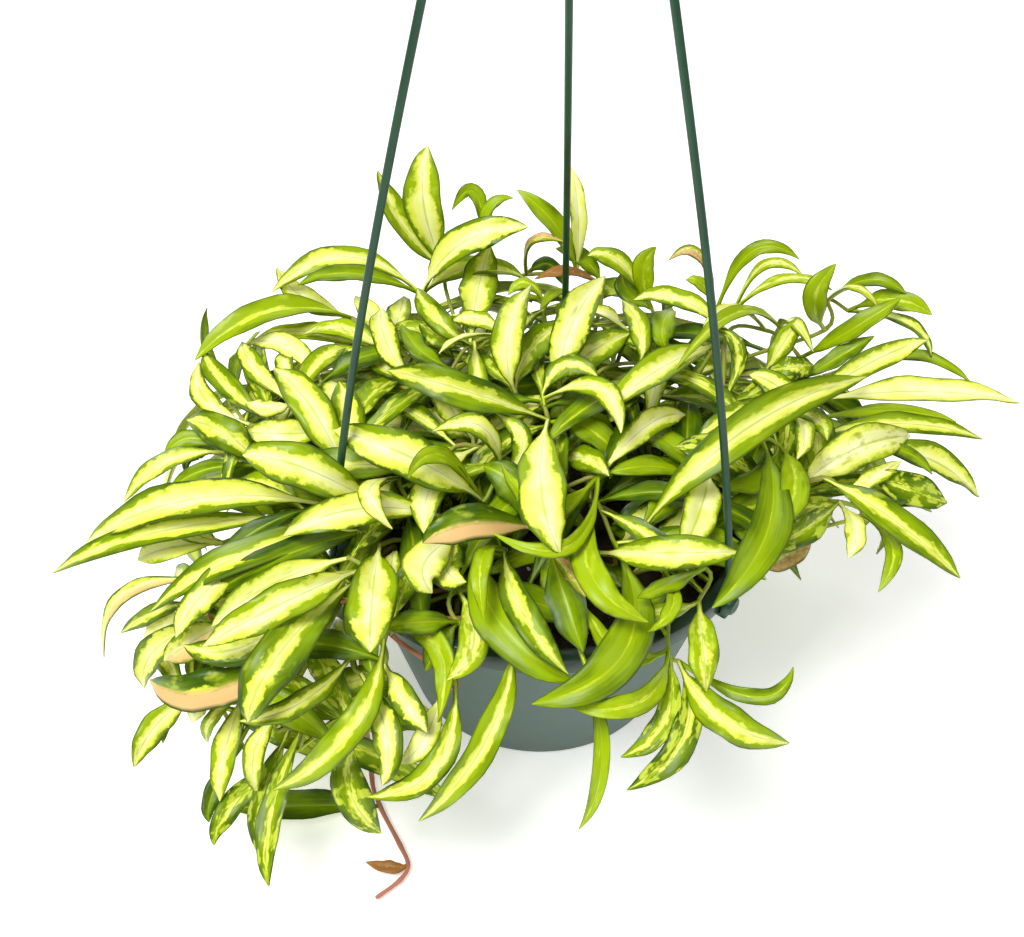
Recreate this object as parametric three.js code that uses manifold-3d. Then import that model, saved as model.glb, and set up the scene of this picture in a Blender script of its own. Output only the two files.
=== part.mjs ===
// A variegated hoya with long narrow leaves, rooted in an 8 inch hanging basket that stands on its base.
// Millimetres, +Z up, the origin at the centre of the basket's base, the front towards -Y.
import * as THREE from "three";
import { mergeVertices } from "three/addons/utils/BufferGeometryUtils.js";
import Module from "manifold-3d";

const wasm = await Module();
wasm.setup();

// Basket
const RIM_RADIUS = 101.6;
const RIM_INNER_RADIUS = 95.6;
const RIM_DROP = 8.5;
const POT_HEIGHT = 109;
const BASE_RADIUS = 66;
const WALL = 1.7;
const POT_SIDES = 30;
const DRAIN_HOLES = 6;
const DRAIN_RADIUS = 4;
const DRAIN_CIRCLE = 44;
const DRAIN_SIDES = 6;

// Soil
const SOIL_TOP = 96;
const SOIL_GAP = 0.35;
const SOIL_BUMP = 1.6;
const HOLE_DEPTH = 12;
const HOLE_SPACING = 11.3;
const HOLE_COUNT = 56;

// Hanger
const ARM_RADIUS = 1.7;
const ARM_FOOT_RADIUS = 104;
const ARM_RISE = 432;
const ARM_BOW = 6.7;
const BACK_ARM_ANGLE = 82.7;
const ARM_TOP_RADIUS = 4.2;
const ARM_STEPS = 8;
const ARM_SIDES = 6;
const CLIP_WIDTH = 7;
const KNOB_RADIUS = 4.6;
const CROWN_RADIUS = 7.5;
const CROWN_HEIGHT = 15;
const HOOK_WIRE_RADIUS = 2.3;
const HOOK_BEND_RADIUS = 17;
const HOOK_SHANK = 22;
const HOOK_STEPS = 13;

// Foliage
const STEM_RADIUS = 1.7;
const STEM_SIDES = 3;
const PETIOLE_WIDTH = 2.6;
const STALK_WIDTH = 1.3;
const STALK_THICKNESS = 1.1;
const PETIOLE_SHARE = 0.08;
const BLADE_THICKNESS = 1;
const BLADE_FOLD = 0.13;
const FRONT_STATIONS = [0, 0.1, 0.36, 0.74];
const REAR_STATIONS = [0, 0.3, 0.7];
const COVERED_SHARE = 0.2;
const FRONT_RANK = 33;
const COVERED_RANK = -50;
const HIDDEN_RANK = -100;
const TRAILING_RANK = 100;
const CLEARANCE = 0.3;
const FLOOR_CLEARANCE = 1.2;
const FLOOR_MARGIN = 0.8;
const RIM_MARGIN = 12;
const STEM_OVER_RIM = 6;
const RIM_EASE = 60;

// The viewpoint from which the foliage was set out, with its focal length and centre in pixels.
const VIEW_POINT = new THREE.Vector3(-14.3, -474.8, 534);
const VIEW_ELEVATION = 40.44;
const VIEW_ROLL = 0.43;
const VIEW_FOCAL = 1326;
const VIEW_CENTRE_X = 512;
const VIEW_CENTRE_Y = 468.5;

// The mound that the foliage makes over and around the basket.
const MOUND_CENTRE = new THREE.Vector3(0, 0, 78);
const MOUND_RADII = new THREE.Vector3(215, 150, 110);

const radians = THREE.MathUtils.degToRad;
const vec = (x, y, z) => new THREE.Vector3(x, y, z);

// A solid from a closed geometry, and a geometry from a solid
function solidOf(geometry) {
  const bare = geometry.clone();
  bare.deleteAttribute("normal");
  bare.deleteAttribute("uv");
  const merged = mergeVertices(bare, 1e-3);
  return new wasm.Manifold(
    new wasm.Mesh({
      numProp: 3,
      vertProperties: merged.attributes.position.array,
      triVerts: new Uint32Array(merged.index.array),
    }),
  );
}

function geometryOf(solid) {
  const mesh = solid.getMesh();
  const geometry = new THREE.BufferGeometry();
  geometry.setAttribute("position", new THREE.BufferAttribute(mesh.vertProperties.slice(), 3));
  geometry.setIndex(new THREE.BufferAttribute(mesh.triVerts.slice(), 1));
  geometry.computeVertexNormals();
  return geometry;
}

function lathe(profile, sides) {
  const points = profile.map(([radius, height]) => new THREE.Vector2(radius, height));
  return new THREE.LatheGeometry(points, sides).rotateX(Math.PI / 2);
}

function tube(curve, radius, sides, steps) {
  const ring = new THREE.Shape();
  for (let i = 0; i < sides; i += 1) {
    const turn = (i / sides) * 2 * Math.PI;
    const place = [radius * Math.cos(turn), radius * Math.sin(turn)];
    if (i === 0) ring.moveTo(...place);
    else ring.lineTo(...place);
  }
  ring.closePath();
  return new THREE.ExtrudeGeometry(ring, { steps, extrudePath: curve, bevelEnabled: false });
}

function cylinderAlong(from, to, radius, sides) {
  return tube(new THREE.LineCurve3(from, to), radius, sides, 1);
}

// A repeatable draw between 0 and 1
function drawer(seed) {
  let state = seed;
  return () => {
    state = (state * 1664525 + 1013904223) % 4294967296;
    return state / 4294967296;
  };
}

// Basket
function pot() {
  const lipInner = RIM_RADIUS - WALL;
  const wallTop = RIM_INNER_RADIUS - 0.4;
  const profile = [
    [0, 0],
    [BASE_RADIUS - 1.5, 0],
    [BASE_RADIUS, 1.5],
    [wallTop, POT_HEIGHT - WALL],
    [lipInner, POT_HEIGHT - WALL],
    [lipInner, POT_HEIGHT - RIM_DROP],
    [RIM_RADIUS, POT_HEIGHT - RIM_DROP],
    [RIM_RADIUS, POT_HEIGHT - 1.2],
    [RIM_RADIUS - 1.2, POT_HEIGHT],
    [RIM_INNER_RADIUS - 1, POT_HEIGHT],
    [wallTop - WALL, POT_HEIGHT - WALL],
    [BASE_RADIUS - WALL, WALL + 1.5],
    [BASE_RADIUS - WALL - 2, WALL],
    [0, WALL],
  ];
  let shell = solidOf(lathe(profile, POT_SIDES));
  for (let i = 0; i < DRAIN_HOLES; i += 1) {
    const turn = ((i + 0.5) / DRAIN_HOLES) * 2 * Math.PI;
    const x = DRAIN_CIRCLE * Math.cos(turn);
    const y = DRAIN_CIRCLE * Math.sin(turn);
    const hole = cylinderAlong(vec(x, y, -1), vec(x, y, WALL + 1), DRAIN_RADIUS, DRAIN_SIDES);
    shell = shell.subtract(solidOf(hole));
  }
  return shell;
}

function innerWallRadius(height) {
  const low = BASE_RADIUS - WALL;
  const high = RIM_INNER_RADIUS - 0.4 - WALL;
  return low + ((high - low) * (height - WALL - 1.5)) / (POT_HEIGHT - 2 * WALL - 1.5);
}

// Each stem has its own hole in the soil, and the holes are spread like the seeds of a flower head.
function holePlace(index) {
  const radius = HOLE_SPACING * Math.sqrt(index + 0.4);
  const turn = index * 2.399963;
  return [radius * Math.cos(turn), radius * Math.sin(turn)];
}

function soil(holes) {
  const draw = drawer(11);
  const floor = WALL + SOIL_GAP;
  const profile = [
    [0, floor],
    [innerWallRadius(WALL + 1.5) - 3, floor],
    [innerWallRadius(SOIL_TOP - 2) - SOIL_GAP, SOIL_TOP - 2],
    [74, SOIL_TOP],
    [37, SOIL_TOP + 2],
    [0, SOIL_TOP + 2],
  ];
  const geometry = mergeVertices(
    lathe(profile, POT_SIDES).deleteAttribute("normal").deleteAttribute("uv"),
    1e-3,
  );
  const place = geometry.attributes.position;
  for (let i = 0; i < place.count; i += 1) {
    if (place.getZ(i) > SOIL_TOP - 0.5) place.setZ(i, place.getZ(i) + SOIL_BUMP * (draw() - 0.6));
  }
  let filling = solidOf(geometry);
  for (const [x, y] of holes) {
    const bottom = vec(x, y, SOIL_TOP - HOLE_DEPTH - CLEARANCE);
    const hole = cylinderAlong(bottom, vec(x, y, SOIL_TOP + 12), STEM_RADIUS + 0.9, 4);
    filling = filling.subtract(solidOf(hole));
  }
  return filling;
}

// What the foliage stays above: the filling without its holes
function soilBlock() {
  return solidOf(cylinderAlong(vec(0, 0, WALL), vec(0, 0, SOIL_TOP + 2.65), innerWallRadius(SOIL_TOP), 24));
}

// Hanger
function armCurve(angle) {
  const out = vec(Math.cos(radians(angle)), Math.sin(radians(angle)), 0);
  const points = [];
  for (let i = 0; i <= ARM_STEPS; i += 1) {
    const t = i / ARM_STEPS;
    const bow = ARM_BOW * t * (1 - t) ** 2 * 6.75;
    const reach = ARM_FOOT_RADIUS * (1 - t) + ARM_TOP_RADIUS * t + bow;
    points.push(out.clone().multiplyScalar(reach).setZ(POT_HEIGHT + ARM_RISE * t));
  }
  return new THREE.CatmullRomCurve3(points);
}

function boxSolid(size, centre, angle) {
  const geometry = new THREE.BoxGeometry(...size).translate(...centre).rotateZ(radians(angle));
  return solidOf(geometry);
}

function arm(angle) {
  const skirt = RIM_RADIUS + CLEARANCE;
  const foot = POT_HEIGHT - RIM_DROP - CLEARANCE;
  const strand = solidOf(tube(armCurve(angle), ARM_RADIUS, ARM_SIDES, ARM_STEPS));
  const tongueThickness = 3.2;
  const tongue = boxSolid(
    [tongueThickness, CLIP_WIDTH, RIM_DROP + 5],
    [skirt + tongueThickness / 2, 0, foot + RIM_DROP / 2],
    angle,
  );
  const catchDepth = 4.5;
  const claw = boxSolid(
    [catchDepth + tongueThickness, CLIP_WIDTH, 2.2],
    [skirt + (tongueThickness - catchDepth) / 2, 0, foot - 1.1],
    angle,
  );
  const out = vec(Math.cos(radians(angle)), Math.sin(radians(angle)), 0);
  const knobHeight = POT_HEIGHT - RIM_DROP / 2;
  const knobFrom = out.clone().multiplyScalar(skirt + 1).setZ(knobHeight);
  const knobTo = out.clone().multiplyScalar(skirt + tongueThickness + 2.6).setZ(knobHeight);
  const knob = solidOf(cylinderAlong(knobFrom, knobTo, KNOB_RADIUS, 12));
  return strand.add(tongue).add(claw).add(knob);
}

class HookCurve extends THREE.Curve {
  // A shank that rises from the crown and turns over into a round bend with an open throat.
  getPoint(t) {
    const bend = HOOK_BEND_RADIUS * radians(235);
    const along = t * (HOOK_SHANK + bend);
    const base = POT_HEIGHT + ARM_RISE + CROWN_HEIGHT - 2;
    if (along <= HOOK_SHANK) return vec(0, 0, base + along);
    const turn = (along - HOOK_SHANK) / HOOK_BEND_RADIUS;
    const side = HOOK_BEND_RADIUS * (1 - Math.cos(turn));
    return vec(side, 0, base + HOOK_SHANK + HOOK_BEND_RADIUS * Math.sin(turn));
  }
}

function hook() {
  const low = POT_HEIGHT + ARM_RISE - 5;
  const high = POT_HEIGHT + ARM_RISE + CROWN_HEIGHT;
  const profile = [
    [0, low],
    [CROWN_RADIUS - 1, low],
    [CROWN_RADIUS, low + 2],
    [CROWN_RADIUS - 0.5, high - 7],
    [HOOK_WIRE_RADIUS + 1, high],
    [0, high],
  ];
  let crown = solidOf(lathe(profile, 12));
  for (const angle of armAngles()) {
    const socket = solidOf(tube(armCurve(angle), ARM_RADIUS + CLEARANCE, ARM_SIDES, ARM_STEPS));
    const top = POT_HEIGHT + ARM_RISE;
    const end = vec(
      ARM_TOP_RADIUS * Math.cos(radians(angle)),
      ARM_TOP_RADIUS * Math.sin(radians(angle)),
      top,
    );
    const relief = cylinderAlong(end.clone().setZ(top - 1), end.clone().setZ(top + 0.6), 2.1, 8);
    crown = crown.subtract(socket).subtract(solidOf(relief));
  }
  return crown.add(solidOf(tube(new HookCurve(), HOOK_WIRE_RADIUS, 6, HOOK_STEPS)));
}

function armAngles() {
  return [BACK_ARM_ANGLE, BACK_ARM_ANGLE + 120, BACK_ARM_ANGLE - 120];
}

// Foliage. Each leaf is set out by three places in the view: where its stalk leaves the stem, the middle
// of its midrib and its tip. near lifts it towards the viewpoint, in millimetres, and wide is its real width.
const VINES = {
  tall_left: [
    { from: [445, 270], over: [424, 205], to: [428, 146], wide: 22, near: 4 },
    { from: [440, 268], over: [400, 222], to: [378, 171], wide: 16, near: 0 },
    { from: [490, 262], over: [476, 194], to: [452, 210], wide: 9, near: -6 },
    { from: [480, 262], over: [487, 212], to: [513, 198], wide: 8, near: -6 },
  ],
  back_left: [
    { from: [420, 290], over: [463, 243], to: [528, 227], wide: 21, near: 14 },
    { from: [428, 283], over: [355, 274], to: [298, 285], wide: 13, near: 8 },
    { from: [424, 276], over: [345, 257], to: [272, 292], wide: 14, near: 2 },
  ],
  left_top: [
    { from: [385, 352], over: [345, 330], to: [304, 334], wide: 12, near: 4 },
    { from: [372, 346], over: [312, 333], to: [258, 337], wide: 12, near: 0 },
    { from: [352, 318], over: [270, 312], to: [195, 360], wide: 17, near: 12 },
    { from: [340, 325], over: [303, 298], to: [277, 268], wide: 16, near: -4 },
    { from: [392, 345], over: [372, 318], to: [355, 296], wide: 13, near: -4 },
  ],
  left_upper: [
    { from: [345, 474], over: [314, 412], to: [274, 368], wide: 20, near: 16 },
    { from: [328, 432], over: [285, 434], to: [248, 432], wide: 16, near: 0 },
    { from: [292, 404], over: [255, 368], to: [242, 342], wide: 12, near: 8 },
    { from: [290, 400], over: [268, 408], to: [245, 402], wide: 11, near: -3 },
    { from: [325, 382], over: [290, 347], to: [247, 344], wide: 13, near: 4 },
  ],
  left_rise: [
    { from: [275, 425], over: [226, 385], to: [204, 352], wide: 13, near: 8 },
    { from: [250, 425], over: [206, 400], to: [199, 362], wide: 12, near: 6 },
    { from: [232, 405], over: [207, 352], to: [207, 308], wide: 8, near: 2, turn: 60 },
  ],
  left_mid: [
    { from: [382, 508], over: [304, 468], to: [243, 455], wide: 22, near: 30 },
    { from: [262, 466], over: [226, 434], to: [187, 420], wide: 18, near: 12 },
    { from: [252, 462], over: [205, 470], to: [170, 492], wide: 9, near: -4 },
    { from: [222, 452], over: [166, 462], to: [124, 502], wide: 11, near: 6 },
    { from: [220, 446], over: [190, 438], to: [164, 457], wide: 10, near: 0 },
  ],
  left_long: [
    { from: [325, 505], over: [190, 500], to: [84, 546], wide: 19, near: 16 },
    { from: [300, 518], over: [160, 532], to: [53, 573], wide: 15, near: 10 },
    { from: [215, 545], over: [170, 548], to: [138, 560], wide: 13, near: -4 },
    { from: [212, 548], over: [185, 535], to: [170, 520], wide: 6, near: 8 },
  ],
  left_fan: [
    { from: [374, 530], over: [250, 553], to: [150, 612], wide: 17, near: 14 },
    { from: [363, 539], over: [284, 556], to: [212, 596], wide: 15, near: 8 },
    { from: [255, 552], over: [208, 590], to: [176, 637], wide: 15, near: 18 },
  ],
  left_spread: [
    { from: [350, 558], over: [272, 584], to: [212, 626], wide: 16, near: 16 },
    { from: [356, 572], over: [285, 602], to: [203, 646], wide: 18, near: 14 },
    { from: [205, 580], over: [125, 595], to: [104, 657], wide: 9, near: 2 },
    { from: [190, 605], over: [155, 612], to: [121, 633], wide: 9, near: 4 },
  ],
  left_drop: [
    { from: [305, 605], over: [240, 648], to: [184, 645], wide: 16, near: 16 },
    { from: [225, 622], over: [195, 640], to: [164, 660], wide: 16, near: 8 },
    { from: [222, 616], over: [160, 645], to: [144, 688], wide: 15, near: 4 },
    { from: [205, 612], over: [170, 625], to: [144, 638], wide: 12, near: 0 },
  ],
  left_belly: [
    { from: [350, 588], over: [282, 650], to: [248, 722], wide: 23, near: 22 },
    { from: [290, 650], over: [210, 690], to: [150, 680], wide: 20, near: 16 },
    { from: [200, 690], over: [156, 725], to: [134, 767], wide: 14, near: 2 },
    { from: [185, 698], over: [168, 720], to: [163, 743], wide: 6, near: -4 },
  ],
  low_left_a: [
    { from: [245, 692], over: [226, 750], to: [220, 801], wide: 14, near: 6 },
    { from: [240, 698], over: [212, 718], to: [208, 742], wide: 7, near: 4 },
    { from: [215, 690], over: [200, 705], to: [192, 722], wide: 9, near: -2 },
    { from: [245, 750], over: [214, 790], to: [209, 822], wide: 9, near: 0 },
  ],
  low_left_b: [
    { from: [280, 715], over: [255, 750], to: [258, 795], wide: 11, near: 8 },
    { from: [290, 728], over: [264, 795], to: [258, 853], wide: 12, near: 10 },
    { from: [305, 722], over: [272, 812], to: [269, 886], wide: 13, near: 14 },
    { from: [300, 750], over: [236, 800], to: [214, 845], wide: 12, near: 4 },
  ],
  front_left_a: [
    { from: [380, 545], over: [372, 600], to: [370, 652], wide: 23, near: 26 },
    { from: [352, 655], over: [302, 702], to: [240, 721], wide: 11, near: 22 },
    { from: [372, 680], over: [387, 735], to: [382, 785], wide: 15, near: 12 },
  ],
  front_left_b: [
    { from: [384, 640], over: [350, 730], to: [273, 790], wide: 15, near: 24 },
    { from: [385, 665], over: [405, 700], to: [427, 732], wide: 13, near: 10 },
    { from: [352, 742], over: [350, 790], to: [381, 833], wide: 18, near: 14 },
  ],
  front_twist: [
    { from: [388, 626], over: [440, 650], to: [438, 722], wide: 13, near: 16 },
    { from: [455, 680], over: [437, 765], to: [368, 797], wide: 13, near: 16 },
    { from: [440, 690], over: [425, 738], to: [401, 763], wide: 12, near: 8 },
  ],
  front_low: [
    { from: [458, 590], over: [474, 640], to: [447, 680], wide: 15, near: 6 },
    { from: [458, 622], over: [420, 622], to: [385, 627], wide: 12, near: 0 },
    { from: [520, 640], over: [486, 740], to: [419, 821], wide: 14, near: 14 },
  ],
  front_green: [
    { from: [470, 548], over: [502, 625], to: [573, 682], wide: 22, near: 12 },
    { from: [508, 550], over: [522, 612], to: [568, 674], wide: 15, near: 18 },
    { from: [520, 552], over: [482, 560], to: [484, 619], wide: 10, near: 20 },
  ],
  front_dark: [
    { from: [550, 552], over: [570, 572], to: [585, 597], wide: 8, near: 8 },
    { from: [545, 556], over: [566, 600], to: [583, 652], wide: 18, near: 4 },
    { from: [585, 665], over: [602, 755], to: [579, 829], wide: 8, near: 8 },
  ],
  front_big: [
    { from: [597, 503], over: [590, 572], to: [648, 622], wide: 15, near: 26 },
    { from: [615, 545], over: [628, 645], to: [532, 704], wide: 22, near: 22 },
  ],
  centre_front: [
    { from: [548, 420], over: [541, 488], to: [560, 553], wide: 23, near: 28 },
    { from: [545, 426], over: [462, 390], to: [388, 370], wide: 18, near: 22 },
    { from: [540, 400], over: [598, 388], to: [621, 433], wide: 13, near: 18 },
  ],
  centre_left: [
    { from: [500, 478], over: [483, 428], to: [433, 431], wide: 11, near: 24 },
    { from: [482, 500], over: [412, 458], to: [334, 430], wide: 22, near: 24 },
    { from: [478, 503], over: [440, 455], to: [408, 478], wide: 9, near: 26 },
    { from: [472, 432], over: [447, 400], to: [442, 368], wide: 15, near: 12 },
  ],
  centre_salmon: [
    { from: [540, 530], over: [472, 523], to: [423, 543], wide: 18, near: 22 },
    { from: [598, 475], over: [570, 545], to: [493, 533], wide: 8, near: 28 },
    { from: [450, 540], over: [425, 562], to: [432, 593], wide: 20, near: 10 },
  ],
  centre_curl: [
    { from: [440, 516], over: [358, 509], to: [283, 536], wide: 17, near: 16 },
    { from: [398, 478], over: [369, 492], to: [392, 529], wide: 11, near: 24 },
    { from: [412, 372], over: [386, 342], to: [382, 308], wide: 14, near: 10 },
  ],
  centre_up: [
    { from: [515, 392], over: [508, 338], to: [531, 285], wide: 18, near: 14 },
    { from: [508, 337], over: [465, 337], to: [439, 354], wide: 6, near: 12, turn: 40 },
    { from: [470, 345], over: [478, 290], to: [490, 245], wide: 22, near: 4 },
    { from: [470, 342], over: [438, 320], to: [417, 288], wide: 13, near: 14 },
    { from: [450, 372], over: [420, 350], to: [402, 325], wide: 12, near: 2 },
  ],
  centre_tall: [
    { from: [560, 388], over: [570, 330], to: [605, 276], wide: 20, near: 16 },
    { from: [545, 305], over: [527, 283], to: [508, 295], wide: 9, near: 6 },
    { from: [590, 305], over: [560, 292], to: [540, 310], wide: 8, near: 6 },
  ],
  back_mid: [
    { from: [602, 285], over: [568, 272], to: [535, 279], wide: 8, near: 10 },
    { from: [577, 272], over: [578, 215], to: [571, 167], wide: 10, near: 2 },
    { from: [570, 278], over: [555, 225], to: [517, 190], wide: 12, near: 4 },
    { from: [522, 275], over: [532, 241], to: [564, 242], wide: 7, near: 4 },
  ],
  back_right: [
    { from: [640, 365], over: [640, 330], to: [622, 300], wide: 12, near: 4 },
    { from: [668, 352], over: [662, 330], to: [672, 308], wide: 14, near: 2 },
    { from: [650, 305], over: [618, 262], to: [588, 256], wide: 15, near: 2 },
    { from: [650, 305], over: [643, 272], to: [656, 247], wide: 13, near: 4 },
  ],
  right_arch: [
    { from: [715, 315], over: [702, 285], to: [686, 280], wide: 10, near: 4 },
    { from: [722, 308], over: [700, 256], to: [669, 260], wide: 8, near: 0 },
    { from: [724, 306], over: [752, 252], to: [799, 259], wide: 9, near: 2 },
    { from: [736, 310], over: [766, 265], to: [803, 276], wide: 7, near: 4 },
    { from: [745, 318], over: [783, 280], to: [832, 290], wide: 9, near: 6 },
  ],
  right_top: [
    { from: [718, 345], over: [662, 368], to: [608, 411], wide: 19, near: 14 },
    { from: [722, 405], over: [738, 350], to: [710, 328], wide: 10, near: 14 },
    { from: [728, 332], over: [680, 300], to: [634, 300], wide: 14, near: 10 },
    { from: [765, 330], over: [735, 310], to: [700, 338], wide: 12, near: 12 },
    { from: [795, 345], over: [742, 312], to: [676, 369], wide: 9, near: 18 },
  ],
  right_back: [
    { from: [825, 330], over: [815, 298], to: [836, 264], wide: 14, near: 14 },
    { from: [828, 300], over: [870, 280], to: [906, 294], wide: 9, near: 2 },
    { from: [826, 300], over: [856, 288], to: [881, 313], wide: 7, near: 8 },
    { from: [850, 312], over: [893, 300], to: [932, 315], wide: 12, near: 0 },
    { from: [855, 325], over: [908, 324], to: [931, 356], wide: 10, near: 0 },
  ],
  right_mid: [
    { from: [765, 372], over: [782, 345], to: [800, 318], wide: 12, near: 8 },
    { from: [775, 335], over: [792, 322], to: [813, 352], wide: 9, near: 14 },
    { from: [800, 358], over: [855, 328], to: [901, 298], wide: 12, near: 10 },
    { from: [800, 380], over: [838, 358], to: [874, 336], wide: 11, near: 8 },
    { from: [850, 368], over: [915, 356], to: [970, 382], wide: 8, near: -4 },
  ],
  right_cream: [
    { from: [640, 532], over: [745, 430], to: [866, 377], wide: 20, near: 28 },
    { from: [800, 405], over: [804, 430], to: [797, 459], wide: 11, near: 28 },
    { from: [810, 398], over: [868, 364], to: [928, 340], wide: 14, near: 10 },
  ],
  right_long: [
    { from: [797, 490], over: [852, 450], to: [910, 436], wide: 21, near: 18 },
    { from: [812, 438], over: [900, 424], to: [982, 439], wide: 13, near: 6 },
    { from: [812, 420], over: [890, 411], to: [956, 422], wide: 8, near: 2 },
    { from: [820, 398], over: [925, 392], to: [1019, 403], wide: 18, near: 8 },
  ],
  right_low: [
    { from: [822, 478], over: [893, 520], to: [960, 578], wide: 16, near: 14 },
    { from: [845, 492], over: [873, 478], to: [901, 461], wide: 9, near: 8 },
    { from: [865, 472], over: [905, 488], to: [947, 503], wide: 17, near: 6 },
    { from: [870, 448], over: [930, 460], to: [979, 497], wide: 18, near: 6 },
    { from: [865, 445], over: [905, 452], to: [932, 474], wide: 7, near: 10 },
  ],
  right_hang: [
    { from: [838, 502], over: [805, 530], to: [762, 549], wide: 14, near: 12 },
    { from: [840, 505], over: [855, 530], to: [848, 558], wide: 11, near: -2 },
    { from: [862, 515], over: [892, 548], to: [878, 592], wide: 9, near: 2 },
    { from: [812, 530], over: [790, 555], to: [764, 566], wide: 12, near: 2 },
  ],
  right_front: [
    { from: [710, 470], over: [700, 510], to: [682, 552], wide: 19, near: 4 },
    { from: [762, 440], over: [769, 525], to: [712, 608], wide: 20, near: 26 },
    { from: [780, 446], over: [795, 488], to: [770, 532], wide: 15, near: 16 },
  ],
  front_right_a: [
    { from: [600, 553], over: [668, 553], to: [738, 552], wide: 17, near: 20 },
    { from: [705, 568], over: [668, 585], to: [637, 598], wide: 8, near: 6 },
    { from: [697, 605], over: [703, 648], to: [706, 692], wide: 15, near: 8 },
    { from: [690, 610], over: [665, 612], to: [640, 608], wide: 9, near: 4 },
  ],
  front_right_b: [
    { from: [665, 572], over: [673, 605], to: [648, 632], wide: 8, near: 20 },
    { from: [668, 650], over: [642, 700], to: [570, 706], wide: 12, near: 20 },
    { from: [673, 660], over: [665, 720], to: [621, 757], wide: 12, near: 12 },
    { from: [680, 662], over: [685, 735], to: [627, 790], wide: 14, near: 16 },
    { from: [683, 658], over: [722, 718], to: [789, 743], wide: 17, near: 20 },
    { from: [690, 668], over: [757, 697], to: [793, 667], wide: 8, near: 10 },
  ],
};

// The stem that trails from the basket and lies on the surface, with the place of each leaf along it.
const TRAILING_VINE = {
  stops: [[372, 778], [380, 806], [400, 845], [408, 865], [400, 880], [376, 898]],
  leaves: [
    { at: 1, over: [305, 806], to: [230, 808], wide: 17 },
    { at: 3, over: [392, 868], to: [366, 862], wide: 7 },
  ],
};

// Vines on the sides that the view doesn't reach: their bearing from the axis, in degrees, and their reach
// from the top of the mound towards its foot, in degrees.
const HIDDEN_VINES = {
  behind_a: { bearing: 68, reach: 80 },
  behind_b: { bearing: 90, reach: 88 },
  behind_c: { bearing: 112, reach: 78 },
  behind_d: { bearing: 48, reach: 90 },
  behind_e: { bearing: 134, reach: 92 },
  behind_f: { bearing: 142, reach: 78, size: 0.88 },
  behind_g: { bearing: 36, reach: 78, size: 0.86 },
  behind_h: { bearing: 80, reach: 54 },
  behind_i: { bearing: 100, reach: 104 },
  behind_k: { bearing: 146, reach: 54, size: 0.8, fall: 14 },
  behind_l: { bearing: 36, reach: 50, size: 0.78, fall: 14 },
  within_a: { bearing: 215, reach: 30, size: 0.66, fall: 12 },
  within_b: { bearing: 60, reach: 34, size: 0.84, fall: 14 },
};

// How a leaf may be shifted until it is clear of what it would cross: along its stem, in nodes, and
// nearer the viewpoint or further out from the mound at its middle and its tip, in millimetres.
const STEM_SHIFTS = [0, 0.2, -0.2, 0.4, -0.4];
const LIFTS = [
  [0, 0], [3, 3], [-3, -3], [6, 6], [3, 8], [-6, -6], [10, 10], [5, -4], [-4, 6],
  [14, 14], [-10, -10], [8, 18], [20, 20], [-15, -12], [26, 26], [16, 34],
];
const STEM_DEPTHS = [14, 18, 22, 10, 26, 6, 30, 2, 34, -2, 38, -6, 42];
const HOLE_CHOICES = 8;
const RIM_TURNS = [0, 8, -8, 17, -17, 27, -27];
const SAME_NODE_PIXELS = 15;
const SIGHT_FLATTENING = 0.7;
const TOUCH_VOLUME = 12;
const MERGE_DISTANCES = [0.12, 0.09, 0.05];
const NUDGES = [0, 0.04, -0.04, 0.08];
const ROUNDINGS = [3, 4];
const STALK_SETBACK = 0.15;
const STRAIGHT_SPANS = 2;
const HIDDEN_NODES = [0.45, 0.75, 1];

// Under each leaf whose stalk lies inside this oval of the view grows another, turned aside and shorter.
const OVAL_CENTRE = [520, 470];
const OVAL_RADII = [345, 225];

const sine = Math.sin(radians(VIEW_ELEVATION));
const cosine = Math.cos(radians(VIEW_ELEVATION));
const viewForward = vec(0, cosine, -sine);
const viewRight = vec(Math.cos(radians(VIEW_ROLL)), 0, 0)
  .addScaledVector(vec(0, sine, cosine), Math.sin(radians(VIEW_ROLL)));
const viewUp = vec(-Math.sin(radians(VIEW_ROLL)), 0, 0)
  .addScaledVector(vec(0, sine, cosine), Math.cos(radians(VIEW_ROLL)));

function sightTo([u, v]) {
  return viewForward.clone()
    .addScaledVector(viewRight, (u - VIEW_CENTRE_X) / VIEW_FOCAL)
    .addScaledVector(viewUp, (VIEW_CENTRE_Y - v) / VIEW_FOCAL)
    .normalize();
}

function onFloor(pixel, height) {
  const ray = sightTo(pixel);
  return VIEW_POINT.clone().addScaledVector(ray, (height - VIEW_POINT.z) / ray.z);
}

// The place that is seen at a pixel, on the mound's near side and raised towards the viewpoint
function seen(pixel, near) {
  const ray = sightTo(pixel);
  const start = VIEW_POINT.clone().sub(MOUND_CENTRE).divide(MOUND_RADII);
  const along = ray.clone().divide(MOUND_RADII);
  const a = along.dot(along);
  const b = start.dot(along);
  const inside = b * b - a * (start.dot(start) - 1);
  const middle = -b / a;
  const depth = middle - (SIGHT_FLATTENING * Math.sqrt(Math.max(0, inside))) / a;
  const floorDepth = (FLOOR_CLEARANCE + 1 - VIEW_POINT.z) / ray.z;
  return VIEW_POINT.clone().addScaledVector(ray, Math.min(depth - near, floorDepth));
}

function outwardAt(place) {
  return place.clone().sub(MOUND_CENTRE).divide(MOUND_RADII).divide(MOUND_RADII).normalize();
}

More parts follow.
